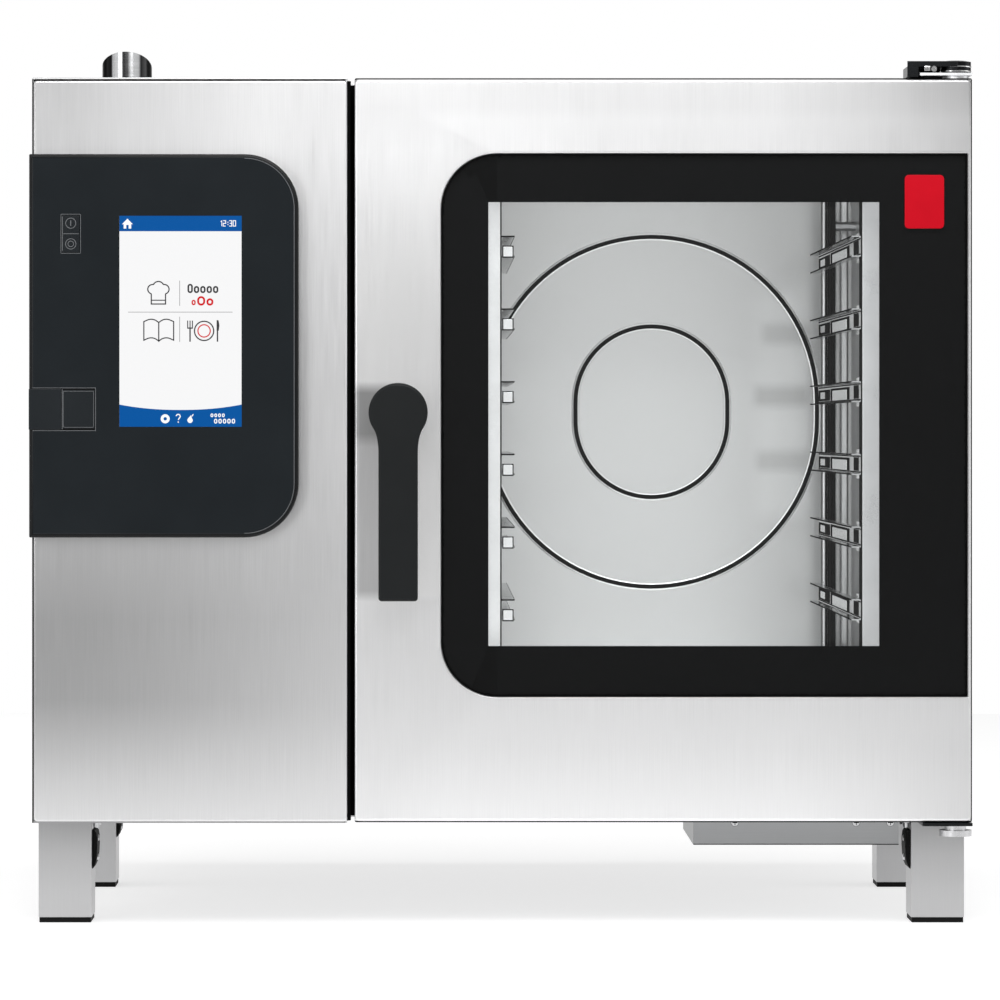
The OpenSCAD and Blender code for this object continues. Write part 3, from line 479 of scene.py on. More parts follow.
def corner_outline(x0, z0, x1, z1, radii, inset=0.0, steps=10):
    """Points round a rectangle, anticlockwise from the low left corner.

    The radii are for the low left, low right, high right and high left corners.
    """
    points = []
    x0, z0, x1, z1 = x0 + inset, z0 + inset, x1 - inset, z1 - inset
    corners = [(x0, z0, 1, 1, 180), (x1, z0, -1, 1, 270), (x1, z1, -1, -1, 0), (x0, z1, 1, -1, 90)]
    for (cx, cz, sx, sz, start), r in zip(corners, radii):
        r = max(r - inset, 0.00015)
        for i in range(steps + 1):
            a = math.radians(start + 90 * i / steps)
            points.append((cx + sx * r + r * math.cos(a), cz + sz * r + r * math.sin(a)))
    return points


def inset_outline(points, d):
    """A closed anticlockwise outline moved inwards by d."""
    out = []
    n = len(points)
    for i in range(n):
        a, b, c = (Vector(points[(i + k) % n]) for k in (-1, 0, 1))
        e1, e2 = (b - a).normalized(), (c - b).normalized()
        n1, n2 = Vector((-e1.y, e1.x)), Vector((-e2.y, e2.x))
        m = n1 + n2
        m.normalize()
        out.append(tuple(b + m * d / max(m.dot(n1), 0.35)))
    return out


def ring_verts(bm, outline, y):
    return [bm.verts.new((p[0], y, p[1])) for p in outline]


def bridge(bm, a, b, index=0):
    n = len(a)
    for i in range(n):
        f = bm.faces.new((a[i], a[(i + 1) % n], b[(i + 1) % n], b[i]))
        f.material_index = index


def cap(bm, outer, holes=(), index=0):
    """A flat face between an outline and its holes."""
    loops = [outer, *holes]
    verts = [v for loop in loops for v in loop]
    for tri in geometry.tessellate_polygon([[v.co for v in loop] for loop in loops]):
        if len({verts[i] for i in tri}) == 3:
            f = bm.faces.new([verts[i] for i in tri])
            f.material_index = index


def rounding(radius, steps=4):
    """A quarter round from the wall to the face: (distance inside the outline, distance from the face)."""
    turns = [math.pi / 2 * i / steps for i in range(steps + 1)]
    return [(radius * (1 - math.cos(a)), radius * (1 - math.sin(a))) for a in turns]


def round_edge(bm, previous, outline_at, y_front, radius, steps=4):
    """Rings from a wall over its rounded front edge; outline_at gives the outline at an inset."""
    for inset, dy in rounding(radius, steps):
        ring = ring_verts(bm, outline_at(inset), y_front + dy)
        bridge(bm, previous, ring)
        previous = ring
    return previous


def slab(outline, y_front, y_back, radius=0.0005, steps=3):
    """A plate in XZ whose front edge is rounded."""
    bm = bmesh.new()
    back = ring_verts(bm, outline, y_back)
    front = round_edge(bm, back, lambda d: inset_outline(outline, d), y_front, radius, steps)
    cap(bm, front)
    cap(bm, back)
    return bm


def arc(x, z, r, a0, a1, steps=10):
    """Points of an arc between two angles in degrees."""
    turns = [math.radians(a0 + (a1 - a0) * i / steps) for i in range(steps + 1)]
    return [(x + r * math.cos(a), z + r * math.sin(a)) for a in turns]


def circle_outline(x, z, r, steps):
    return arc(x, z, r, 0, 360, steps)[:-1]


def bevel(node, width):
    """Small rounded edges on one of the frame's own nodes."""
    m = NODES[node].modifiers.new("edges", "BEVEL")
    m.width = width
    m.segments = 2
    m.limit_method = "ANGLE"
    m.angle_limit = math.radians(50)
    m.harden_normals = False
    m.use_clamp_overlap = True
    flat_faces_stay_flat(NODES[node])


def prism(bm, outline, y0, y1, index=0, holes=()):
    """A flat plate between two planes that face the front."""
    front, back = ring_verts(bm, outline, y0), ring_verts(bm, outline, y1)
    front_holes = [ring_verts(bm, h, y0) for h in holes]
    back_holes = [ring_verts(bm, h, y1) for h in holes]
    cap(bm, front, front_holes, index)
    cap(bm, back, back_holes, index)
    for a, b in zip([front, *front_holes], [back, *back_holes]):
        bridge(bm, a, b, index)


def line(points, width):
    """The outline of an open line drawn with a pen of one width."""
    points = [Vector(p) for p in points]
    left, right = [], []
    for i, p in enumerate(points):
        before = (p - points[i - 1]).normalized() if i else None
        after = (points[i + 1] - p).normalized() if i + 1 < len(points) else None
        d = (before or after) + (after or before)
        d.normalize()
        n = Vector((-d.y, d.x))
        side = Vector((-(after or before).y, (after or before).x))
        reach = width / 2 / max(n.dot(side), 0.5)
        left.append(tuple(p + n * reach))
        right.append(tuple(p - n * reach))
    return left + right[::-1]


def loop(points, width):
    """A closed line: its outer outline and its hole."""
    return inset_outline(points, -width / 2), inset_outline(points, width / 2)


def band(bm, points, width, y0, y1, index=0):
    """A closed line of one width, as a flat plate."""
    outer, hole = loop(points, width)
    prism(bm, outer, y0, y1, index, [hole])


def block(bm, low, high, edge=0.0, index=0, segments=2):
    """A box from its corners, in millimetres, with rounded edges."""
    made = bmesh.ops.create_cube(bm, size=1.0)
    verts = made["verts"]
    for v in verts:
        for k in range(3):
            v.co[k] = (low[k] if v.co[k] < 0 else high[k]) * MM
    for f in {f for v in verts for f in v.link_faces}:
        f.material_index = index
    if edge:
        edges = {e for v in verts for e in v.link_edges}
        bmesh.ops.bevel(bm, geom=list(edges), offset=edge * MM, segments=segments, profile=0.5, affect="EDGES",
                        clamp_overlap=True, material=-1)


def turned(bm, centre, axis, profile, steps=40, index=0, closed=True):
    """A turned shape: profile is (distance along the axis, radius) in millimetres."""
    k = "xyz".index(axis)
    a, b = [(1, 2), (2, 0), (0, 1)][k]
    rings = []
    for along, r in profile:
        ring = []
        for i in range(steps):
            t = math.tau * i / steps
            co = [0.0, 0.0, 0.0]
            co[k] = (centre[k] + along) * MM
            co[a] = (centre[a] + max(r, 0.02) * math.cos(t)) * MM
            co[b] = (centre[b] + max(r, 0.02) * math.sin(t)) * MM
            ring.append(bm.verts.new(co))
        rings.append(ring)
    for p, q in zip(rings, rings[1:]):
        bridge(bm, p, q, index)
    if closed:
        for ring in (rings[0], rings[-1]):
            f = bm.faces.new(ring)
            f.material_index = index


def extruded(bm, outline, axis, low, high, index=0):
    """An outline of the two other axes, in millimetres, drawn along one axis."""
    k = "xyz".index(axis)
    a, b = [(1, 2), (0, 2), (0, 1)][k]

    def ring(value):
        out = []
        for p in outline:
            co = [0.0, 0.0, 0.0]
            co[k], co[a], co[b] = value * MM, p[0] * MM, p[1] * MM
            out.append(bm.verts.new(co))
        return out

    p, q = ring(low), ring(high)
    bridge(bm, p, q, index)
    for end in (p, q):
        cap(bm, end, index=index)


def bend(corner, start, end, radius, steps=4):
    """Points of a fold's arc in place of a corner between two straight runs."""
    corner, start, end = Vector(corner), Vector(start), Vector(end)
    u, v = (start - corner).normalized(), (end - corner).normalized()
    half = u.angle(v) / 2
    reach = radius / math.tan(half)
    centre = corner + (u + v).normalized() * radius / math.sin(half)
    p, q = corner + u * reach, corner + v * reach
    out = []
    for i in range(steps + 1):
        d = (p - centre).lerp(q - centre, i / steps)
        out.append(tuple(centre + d.normalized() * radius))
    return out


# ---- materials on the frame's own nodes

for entry in frame["record"]["subparts"]:
    name = entry["node"]
    obj = NODES[name]
    material = BY_NODE.get(name, BY_SLOT[entry["material_slot"]])
    if not obj.material_slots:
        obj.data.materials.append(material)
    for s in obj.material_slots:
        s.material = material


# ---- cabinet

for width, nodes in (
    (0.0004, "front_frame suction_panel floor_sieve door_inner_frame vent_pipe"),
    (0.0005, "rear_panel base_pan drip_collector drain_pipe"),
    (0.0006, "side_panel_left side_panel_right hinge_blocks"),
    (0.0007, "top_panel"),
    (0.0008, "hinge_bracket_bottom hinge_pins cable_gland rack_studs cooling_fan_frame glide_front_left"
             " glide_front_right glide_rear_left glide_rear_right"),
    (0.0010, "hinge_bracket_top latch_keeper handle_shaft contactors"),
    (0.0012, "legs terminal_cover water_valves"),
    (0.0015, "chamber_lamps fan_motor steam_generator"),
):
    for node in nodes.split():
        bevel(node, width)


def column_skin():
    x0, z0, x1, z1 = seen_from_front(COLUMN)
    s, r, sharp = FOLD, 0.0018, (0.0012,) * 4
    bm = bmesh.new()
    outline = corner_outline(x0, z0, x1, z1, sharp, steps=3)
    back, fold = (ring_verts(bm, outline, Y_FRONT + y) for y in (0.0052, 0.0032))
    bridge(bm, back, fold)
    wall = ring_verts(bm, corner_outline(x0 + s, z0 + s, x1, z1 - s, sharp, steps=3), Y_FRONT + 0.0030)
    # the fold's step is black: painted shade along the column's edge
    bridge(bm, fold, wall, 1)
    front = round_edge(bm, wall, lambda d: corner_outline(x0 + s, z0 + s, x1, z1 - s, (0.0012 + r,) * 4, d, 3),
                       Y_FRONT, r)
    cap(bm, front)
    cap(bm, back)
    prism(bm, [(x1 - 0.0015, z0), (x1, z0), (x1, z1), (x1 - 0.0015, z1)], Y_FRONT + 0.003, COLUMN[1][1])
    # a thin black strip along the column's left side: painted shade
    prism(bm, [(x0, z0), (x0 + s, z0), (x0 + s, z1), (x0, z1)], Y_FRONT + 0.0009, Y_FRONT + 0.0014, 1)
    piece("column_skin", bm, [STEEL_COLUMN, SHADOW], "cabinet", "column_front", angle=25)


# the black strip in the gap between the column and the door is painted shade
def gap_shade_strip():
    x = COLUMN[1][0] / MM
    y0, y1 = Y_FRONT / MM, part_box("front_frame")[0][1] / MM
    z0, z1 = Z_BASE / MM + 2, Z_TOP / MM - 3
    bm = bmesh.new()
    lip = [(x + 0.1, y0 + 3.5), (x + 2.2, y0 + 5), (x + 3.4, y0 + 9), (x + 2.2, y0 + 14), (x + 1.4, y0 + 16),
           (x + 1.4, y1 - 8), (x + 10, y1 - 6.5), (x + 10, y1 - 0.3), (x + 0.1, y1 - 0.3)]
    extruded(bm, lip, "z", z0, z1)
    piece("gap_shade_strip", bm, SHADOW, "cabinet")


column_skin()
gap_shade_strip()


# ---- door skin


def door_skin():
    x0, z0, x1, z1 = seen_from_front(DOOR)
    y_back = DOOR[1][1]
    gx0, gz0, gx1, gz1 = OPENING
    y_glass = GLASS[0][1]
    s, r, wall, sharp = FOLD, 0.0022, 0.0015, (0.0016,) * 4
    bm = bmesh.new()
    outline = corner_outline(x0, z0, x1, z1, sharp, steps=3)
    back = ring_verts(bm, outline, y_back)
    fold = ring_verts(bm, outline, Y_FRONT + 0.0036)
    bridge(bm, back, fold)
    side = ring_verts(bm, corner_outline(x0, z0 + s, x1 - s, z1 - s, sharp, steps=3), Y_FRONT + 0.0034)
    # the fold's step is black: painted shade round the door's edge
    bridge(bm, fold, side, 1)
    front = round_edge(bm, side, lambda d: corner_outline(x0, z0 + s, x1 - s, z1 - s, (0.0016 + r,) * 4, d, 3),
                       Y_FRONT, r)

    def opening(grow):
        return corner_outline(gx0 - grow, gz0 - grow, min(gx1 + grow, x1 - s - r - 0.0004), gz1 + grow,
                              (GLASS_CORNER + grow, 0.0008, 0.0008, GLASS_CORNER + grow), steps=14)

    lip = ring_verts(bm, opening(0.0022), Y_FRONT)
    cap(bm, front, [lip])
    fold = ring_verts(bm, opening(0.0008), Y_FRONT + 0.0004)
    bridge(bm, lip, fold)
    edge = ring_verts(bm, opening(0.0), y_glass - 0.0001)
    bridge(bm, fold, edge)
    inside = corner_outline(x0 + wall, z0 + wall, x1 - wall, z1 - wall, sharp, steps=3)
    inner = ring_verts(bm, inside, y_glass)
    cap(bm, inner, [edge])
    inner_back = ring_verts(bm, inside, y_back)
    bridge(bm, inner, inner_back)
    bridge(bm, inner_back, back)
    piece("door_skin", bm, [STEEL_DOOR, SHADOW], "door", "door_frame", angle=25)


def gasket():
    (x0, y0, z0), (x1, y1, z1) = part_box("door_gasket")
    middle = (y0 + y1) / 2
    # foot on the front frame, neck, and the round bulb that the door presses on
    profile = [(0.0, y1), (0.0, y1 - 0.0016), (0.003, y1 - 0.0018), (0.0012, middle), (0.0030, y0 + 0.0010),
               (0.0062, y0), (0.0094, y0 + 0.0010), (0.0112, middle), (0.0100, y1 - 0.0018), (0.0140, y1 - 0.0016),
               (0.0140, y1)]
    bm = bmesh.new()
    rings = [ring_verts(bm, corner_outline(x0, z0, x1, z1, (0.034,) * 4, inset), y) for inset, y in profile]
    for a, b in zip(rings, rings[1:] + rings[:1]):
        bridge(bm, a, b)
    piece("gasket_bulb", bm, RUBBER, "cabinet", "door_gasket", angle=40)


def badge():
    (x0, y0, z0), (x1, y1, z1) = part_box("door_badge")
    bm = slab(corner_outline(x0, z0, x1, z1, (0.004,) * 4, steps=6), y0, y1, 0.0006, 3)
    piece("badge_plate", bm, RED, "door", "door_badge", angle=35)


def glass_edge():
    """A thin black band round the outer pane, inside the skin's opening: painted shade along the edge of the
    recess.
    """
    y = GLASS[0][1]
    radii = (GLASS_CORNER, 0.003, 0.003, GLASS_CORNER)
    outer, hole = (corner_outline(*OPENING, radii, inset, steps=14) for inset in (0.0001, 0.0022))
    bm = bmesh.new()
    prism(bm, outer, y - 0.0004, y - 0.00002, holes=[hole])
    piece("glass_edge", bm, SHADOW, "door")


door_skin()
gasket()
badge()
glass_edge()


# ---- cooking chamber


def obround(r, half, centre, steps=48):
    x, z = centre
    return arc(x, z + half, r, 0, 180, steps) + arc(x, z - half, r, 180, 360, steps)


def wall_beads():
    low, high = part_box("wall_beads")
    shift, half, y = 0.0051, 0.010, high[1]
    centre = ((low[0] + high[0]) / 2 + shift, (low[2] + high[2]) / 2)
    # across the bead: distance from its middle line, depth, and material; the lips' near-white steel is a painted
    # highlight and the black groove is painted shade
    profile = [(3.9, 0.0, 0), (3.6, -0.5, 0), (2.3, -0.8, 0), (2.1, -0.8, 1), (1.9, -0.5, 1), (-1.9, -0.5, 1),
               (-2.1, -0.8, 1), (-2.3, -0.8, 0), (-3.6, -0.5, 0), (-3.9, 0.0, 0)]
    bm = bmesh.new()
    for r in (0.1763, 0.0809):
        rings = [ring_verts(bm, obround(r + d * MM, half, centre), y + dy * MM) for d, dy, _ in profile]
        for (a, b), (_, _, index) in zip(zip(rings, rings[1:]), profile):
            bridge(bm, a, b, index)
    piece("bead_lines", bm, [STEEL_BEAD_HIGHLIGHT, SHADOW], "cabinet", "wall_beads", angle=40)


def rack(name, node, s):
    """Rails of folded sheet on two posts; s is 1 where the pans are to its right."""
    (x0, y0, z0), (x1, y1, z1) = box_mm(node)
    web = x1 if s < 0 else x0
    post, top_rail, pitch = 17.0, 640, 69.0
    web += s * post
    flange, h, t = 13.0 if s > 0 else 10.0, 20.0, 1.2
    bm = bmesh.new()

    def plate(d0, d1, ya, yb, za, zb, index, edge=0.0):
        """A block whose x limits are counted from the web towards the pans."""
        xa, xb = sorted((web + s * d0, web + s * d1))
        block(bm, (xa, ya, za), (xb, yb, zb), edge, index)

    for i in range(7):
        z = top_rail - pitch * i
        middle = t / 2
        a, b = (web + s * flange, z - h / 2 + middle), (web + s * flange, z + h / 2 - middle)
        c, d = (web + s * middle, z - h / 2 + middle), (web + s * middle, z + h / 2 - middle)
        path = [a, *bend(c, a, d, 2.0), *bend(d, c, b, 2.0), b]
        # the rails are in STEEL_RAIL, a darker copy of the rack's steel: painted shade
        extruded(bm, line(path, t), "y", y0 + 1.2, y1 - 24, index=2)
        # the sheared edges of both flanges, as black strips: painted shade
        for e in (z - h / 2 - 0.1, z + h / 2 - 1.2):
            plate(flange - 0.1, flange + 0.4, y0 + 1.2, y1 - 24, e, e + 1.3, 1)
        if s < 0:
            # folds of the web, two punched lugs that hold a pan, and the notch behind the front post; their black
            # plates are painted shade
            for e in (z - h / 2 + 2.0, z + h / 2 - 3.2):
                plate(1.2, 1.5, y0 + 1.2, y1 - 24, e, e + 1.2, 1)
            plate(1.2, 1.6, 96, 232, z - 6.4, z + 5.0, 1)
            plate(1.2, 1.9, 150, 206, z - 4.2, z + 2.6, 0)
            plate(1.2, 1.6, -134, 82, z - 6.6, z + 5.6, 1)
            plate(1.2, 2.0, -110, 56, z - 6.6, z + 3.4, 0, 0.3)
            plate(1.2, 1.6, -236, -186, z - 6.4, z + 6.4, 1)
        else:
            # the turned-up tab at the front end of the lower flange, with a black plate behind it as its painted
            # shadow, and a black strip of painted shade along the upper flange
            plate(1.6, 12.4, y0 + 0.6, y0 + 1.1, z - h / 2 - 1.0, z - h / 2 + 10.6, 1)
            plate(2.6, 11.4, y0, y0 + 0.9, z - h / 2 + 0.2, z - h / 2 + 9.6, 0, 0.3)
            plate(0.0, flange, y0 + 0.4, y0 + 1.2, z + h / 2 - 1.4, z + h / 2, 1)
        plate(0.2, -1.2, y0 + 22, y0 + 58, z - 14, z + 14, 0, 0.3)
    out = sorted((web, web - s * post))
    # the right rack's front post is in the darker STEEL_PART: painted shade
    block(bm, (out[0], y0, z0), (out[1], y0 + 20, z1), 1.2, index=0 if s > 0 else 3, segments=3)
    # the post's folded edge, in shadow
    plate(0.0, 1.0, y0 + 0.6, y0 + 20, z0, z1, 1)
    # the rear post is black: painted shade
    rear = sorted((web - s * 11.5, web - s * 17.0))
    block(bm, (rear[0], y1 - 20, z0), (rear[1], y1, z1), 1.0, index=1)
    turned(bm, (web - s * 5.6, y1 - 6, z0), "z", [(0, 3.6), (z1 - z0, 3.6)], 14, index=0)
    piece(name, bm, [STEEL_RACK, SHADOW, STEEL_RAIL, STEEL_PART], "cabinet", node, angle=30)


def chamber_corner():
    """Strips along the seam between the rear wall and the right wall: a black one, painted shade in the corner, and
    two of steel.
    """
    low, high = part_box("chamber_liner")
    x1, y1 = high[0] / MM - 1.5, high[1] / MM - 1.5
    z0, z1 = low[2] / MM + 8, high[2] / MM - 8
    bm = bmesh.new()
    block(bm, (x1 - 27.5, y1 - 1.2, z0), (x1 - 19.0, y1 - 0.1, z1), 0.3, index=1)
    block(bm, (x1 - 18.2, y1 - 3.0, z0), (x1 - 15.6, y1 - 0.1, z1), 0.9, index=0)
    block(bm, (x1 - 12.6, y1 - 7.0, z0), (x1 - 3.6, y1 - 0.1, z1), 2.4, index=0, segments=3)
    piece("chamber_corner_strips", bm, [STEEL_RACK, SHADOW], "cabinet")


wall_beads()
rack("rack_left_rails", "rack_left", 1)
rack("rack_right_rails", "rack_right", -1)
chamber_corner()


# ---- control panel


def panel_outline(inset=0.0, steps=16):
    (x0, _, z0), (x1, _, z1) = PANEL
    return corner_outline(x0, z0, x1, z1, (0.0012, 0.050, 0.050, 0.0012), inset, steps)


def rect(x0, z0, x1, z1, r=0.0002, steps=2):
    return corner_outline(x0, z0, x1, z1, (r,) * 4, steps=steps)


SLOT = mm(-440, 465.4, -377.6, 504.2)
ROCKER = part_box("power_rocker")


def panel_body():
    bm = bmesh.new()
    y0, y1 = PANEL[0][1], PANEL[1][1]
    back = ring_verts(bm, panel_outline(), y1)
    rim = round_edge(bm, back, panel_outline, y0, 0.0022)
    step = ring_verts(bm, panel_outline(0.0029), y0)
    bridge(bm, rim, step)
    bed = ring_verts(bm, panel_outline(0.0031), y0 + 0.0016)
    bridge(bm, step, bed)
    cap(bm, bed)
    cap(bm, back)
    piece("panel_body", bm, PANEL_RIM, "cabinet", "control_housing", angle=35)


def panel_face():
    y0, y1 = PANEL_GLASS[0][1], PANEL_GLASS[1][1]
    g = 0.00025
    _, sz0, sx1, sz1 = SLOT
    rx0, rz0, rx1, rz1 = seen_from_front(ROCKER)
    dx0, dz0, dx1, dz1 = seen_from_front(SCREEN)
    lap = 0.0015
    outline = panel_outline(0.0033)
    left = min(p[0] for p in outline)
    # the cover's slot opens at the panel's left edge, so it is cut out of the outline
    cut = []
    for i, p in enumerate(outline):
        q = outline[(i + 1) % len(outline)]
        cut.append(p)
        if abs(p[0] - left) < 1e-6 and abs(q[0] - left) < 1e-6 and p[1] > sz1 > q[1]:
            cut += [(left, sz1), (sx1, sz1), (sx1, sz0), (left, sz0)]
    holes = [rect(rx0 - g, rz0 - g, rx1 + g, rz1 + g), rect(dx0 + lap, dz0 + lap, dx1 - lap, dz1 - lap)]
    edge = 0.0004
    bm = bmesh.new()
    rings = [ring_verts(bm, cut, y1), ring_verts(bm, cut, y0 + edge), ring_verts(bm, inset_outline(cut, edge), y0)]
    for a, b in zip(rings, rings[1:]):
        bridge(bm, a, b)
    hole_rings = [ring_verts(bm, h, y0) for h in holes]
    cap(bm, rings[-1], hole_rings)
    back_holes = [ring_verts(bm, h, y1) for h in holes]
    cap(bm, rings[0], back_holes)
    for a, b in zip(hole_rings, back_holes):
        bridge(bm, a, b)
    piece("panel_face", bm, PANEL_BLACK, "cabinet", "control_glass", angle=30)


def panel_lines():
    """Thin grey lines: along the right of the panel's rim a painted highlight on the glass's edge, and joint lines
    round the rocker and the cover.
    """
    y0, y1 = Y_PANEL - 0.00008, Y_PANEL + 0.0004
    bm = bmesh.new()
    whole = panel_outline(0.0040)
    n = len(whole) // 4
    # the rim's line runs only along the right side, where light catches the glass's edge: a painted highlight
    rim = whole[n:3 * n]
    prism(bm, line(rim, 0.0005), y0, y1)
    rx0, rz0, rx1, rz1 = seen_from_front(ROCKER)
    band(bm, rect(rx0 - 0.0009, rz0 - 0.0009, rx1 + 0.0009, rz1 + 0.0009, 0.0006), 0.00045, y0, y1)
    _, sz0, sx1, sz1 = SLOT
    x0, x1, low, high = PANEL_GLASS[0][0], sx1 + 0.0004, sz0 - 0.0004, sz1 + 0.0004
    prism(bm, line([(x0, high), (x1, high), (x1, low), (x0, low)], 0.0005), y0, y1)
    piece("panel_lines", bm, PANEL_LINE, "cabinet")


def rocker():
    (x0, y0, z0), (x1, y1, z1) = box_mm("power_rocker")
    bm = bmesh.new()
    block(bm, (x0, y0 + 0.4, z0), (x1, y1, z1), 0.8, index=0, segments=3)
    cx, cz = (x0 + x1) / 2, (z0 + z1) / 2
    top, low = cz + 9.8, cz - 9.4
    f0, f1 = (y0 + 0.34) * MM, (y0 + 0.8) * MM
    prism(bm, rect(*mm(x0 + 0.8, cz - 0.25, x1 - 0.8, cz + 0.25)), f0, f1, 1)
    for z, r in ((top, 4.7), (low, 4.8), (low, 2.6)):
        band(bm, circle_outline(cx * MM, z * MM, r * MM, 36), 0.0006, f0, f1, 1)
    prism(bm, rect(*mm(cx - 0.4, top - 2.6, cx + 0.4, top + 2.6)), f0, f1, 1)
    # a thin grey strip along the rocker's left edge: a painted highlight
    prism(bm, rect(*mm(x0 + 0.2, z0 + 1.2, x0 + 0.75, z1 - 1.2)), f0, f1, 1)
    piece("rocker_keys", bm, [PANEL_KEY, PANEL_LINE], "rocker", "power_rocker", angle=35)


def usb_cover():
    (x0, y0, z0), (x1, y1, z1) = box_mm("usb_cover")
    x0 = PANEL[0][0] / MM - 0.2
    middle = (-439 - 377.6) / 2
    bm = bmesh.new()
    block(bm, (x0, y1 - 3.6, z0), (x1, y1, z1), 0.3)
    block(bm, (middle, y0 + 1.3, z0 + 1.2), (x1, y1 - 3.5, z1 - 1.2), 0.5, segments=3)
    block(bm, (x0, y0, z0), (middle - 0.5, y1 - 3.4, z1), 0.9, segments=3)
    f = (y0 + 1.22) * MM
    band(bm, rect(*mm(middle + 1.2, z0 + 2.4, x1 - 1.2, z1 - 2.4), 0.0006), 0.0004, f, f + 0.0004, 1)
    prism(bm, rect(*mm(middle - 0.1, z0 + 0.6, middle + 0.5, z1 - 0.6)), f, f + 0.0006, 1)
    piece("usb_flap", bm, [PANEL_KEY, PANEL_LINE], "socket_cover", "usb_cover", angle=35)


panel_body()
panel_face()
panel_lines()
rocker()
usb_cover()


# ---- screen

SX, SZ = SCREEN[0][0] + 0.0017, SCREEN[0][2] + 0.0017
SY = Y_PANEL + 0.0002
SCREEN_W, SCREEN_H = 113.2, 195.4


def on_screen(points):
    """Screen millimetres from its low left corner, to the row frame."""
    return [(SX + p[0] * MM, SZ + p[1] * MM) for p in points]


class Ink:
    """One colour of the screen's picture."""

    def __init__(self, layer=1):
        self.bm = bmesh.new()
        self.y0, self.y1 = SY - 0.00006 * layer, SY + 0.0001

    def area(self, points, holes=()):
        prism(self.bm, on_screen(points), self.y0, self.y1, holes=[on_screen(h) for h in holes])

    def bar(self, x0, z0, x1, z1, r=0.3):
        self.area(corner_outline(x0, z0, x1, z1, (r,) * 4, steps=3))

    def line(self, points, width=0.7):
        self.area(line(points, width))

    def closed(self, points, width):
        outer, hole = loop(points, width)
        self.area(outer, [hole])

    def ring(self, x, z, r, width):
        self.closed(circle_outline(x, z, r, 40), width)

    def place(self, name, material):
        piece(name, self.bm, material, "cabinet")


def digit(ink, value, x, z, w=2.3, h=5.0, pen=0.75):
    """A clock digit drawn from straight strokes."""
    t, m, b = z + h, z + h / 2, z
    if value == "0":
        ink.closed([(x, b), (x + w, b), (x + w, t), (x, t)], pen)
        return
    strokes = {
        "1": [[(x + w * 0.2, t - 1.2), (x + w * 0.6, t), (x + w * 0.6, b)]],
        "2": [[(x, t), (x + w, t), (x + w, m), (x, m), (x, b), (x + w, b)]],
        "3": [[(x, t), (x + w, t), (x + w, b), (x, b)], [(x + w * 0.2, m), (x + w, m)]],
        ":": [[(x + 0.8, b + 1.0), (x + 0.8, b + 2.0)], [(x + 0.8, t - 2.0), (x + 0.8, t - 1.0)]],
    }[value]
    for s in strokes:
        ink.line(s, pen)


def marks(ink, x, z, w, h, pen):
    """One rounded ring of a row that stands for a caption, without letters."""
    radius = min(w, h) / 2 - pen / 2 - 0.05
    ink.closed(corner_outline(x, z, x + w, z + h, (radius + pen / 2,) * 4, pen / 2, 4), pen)


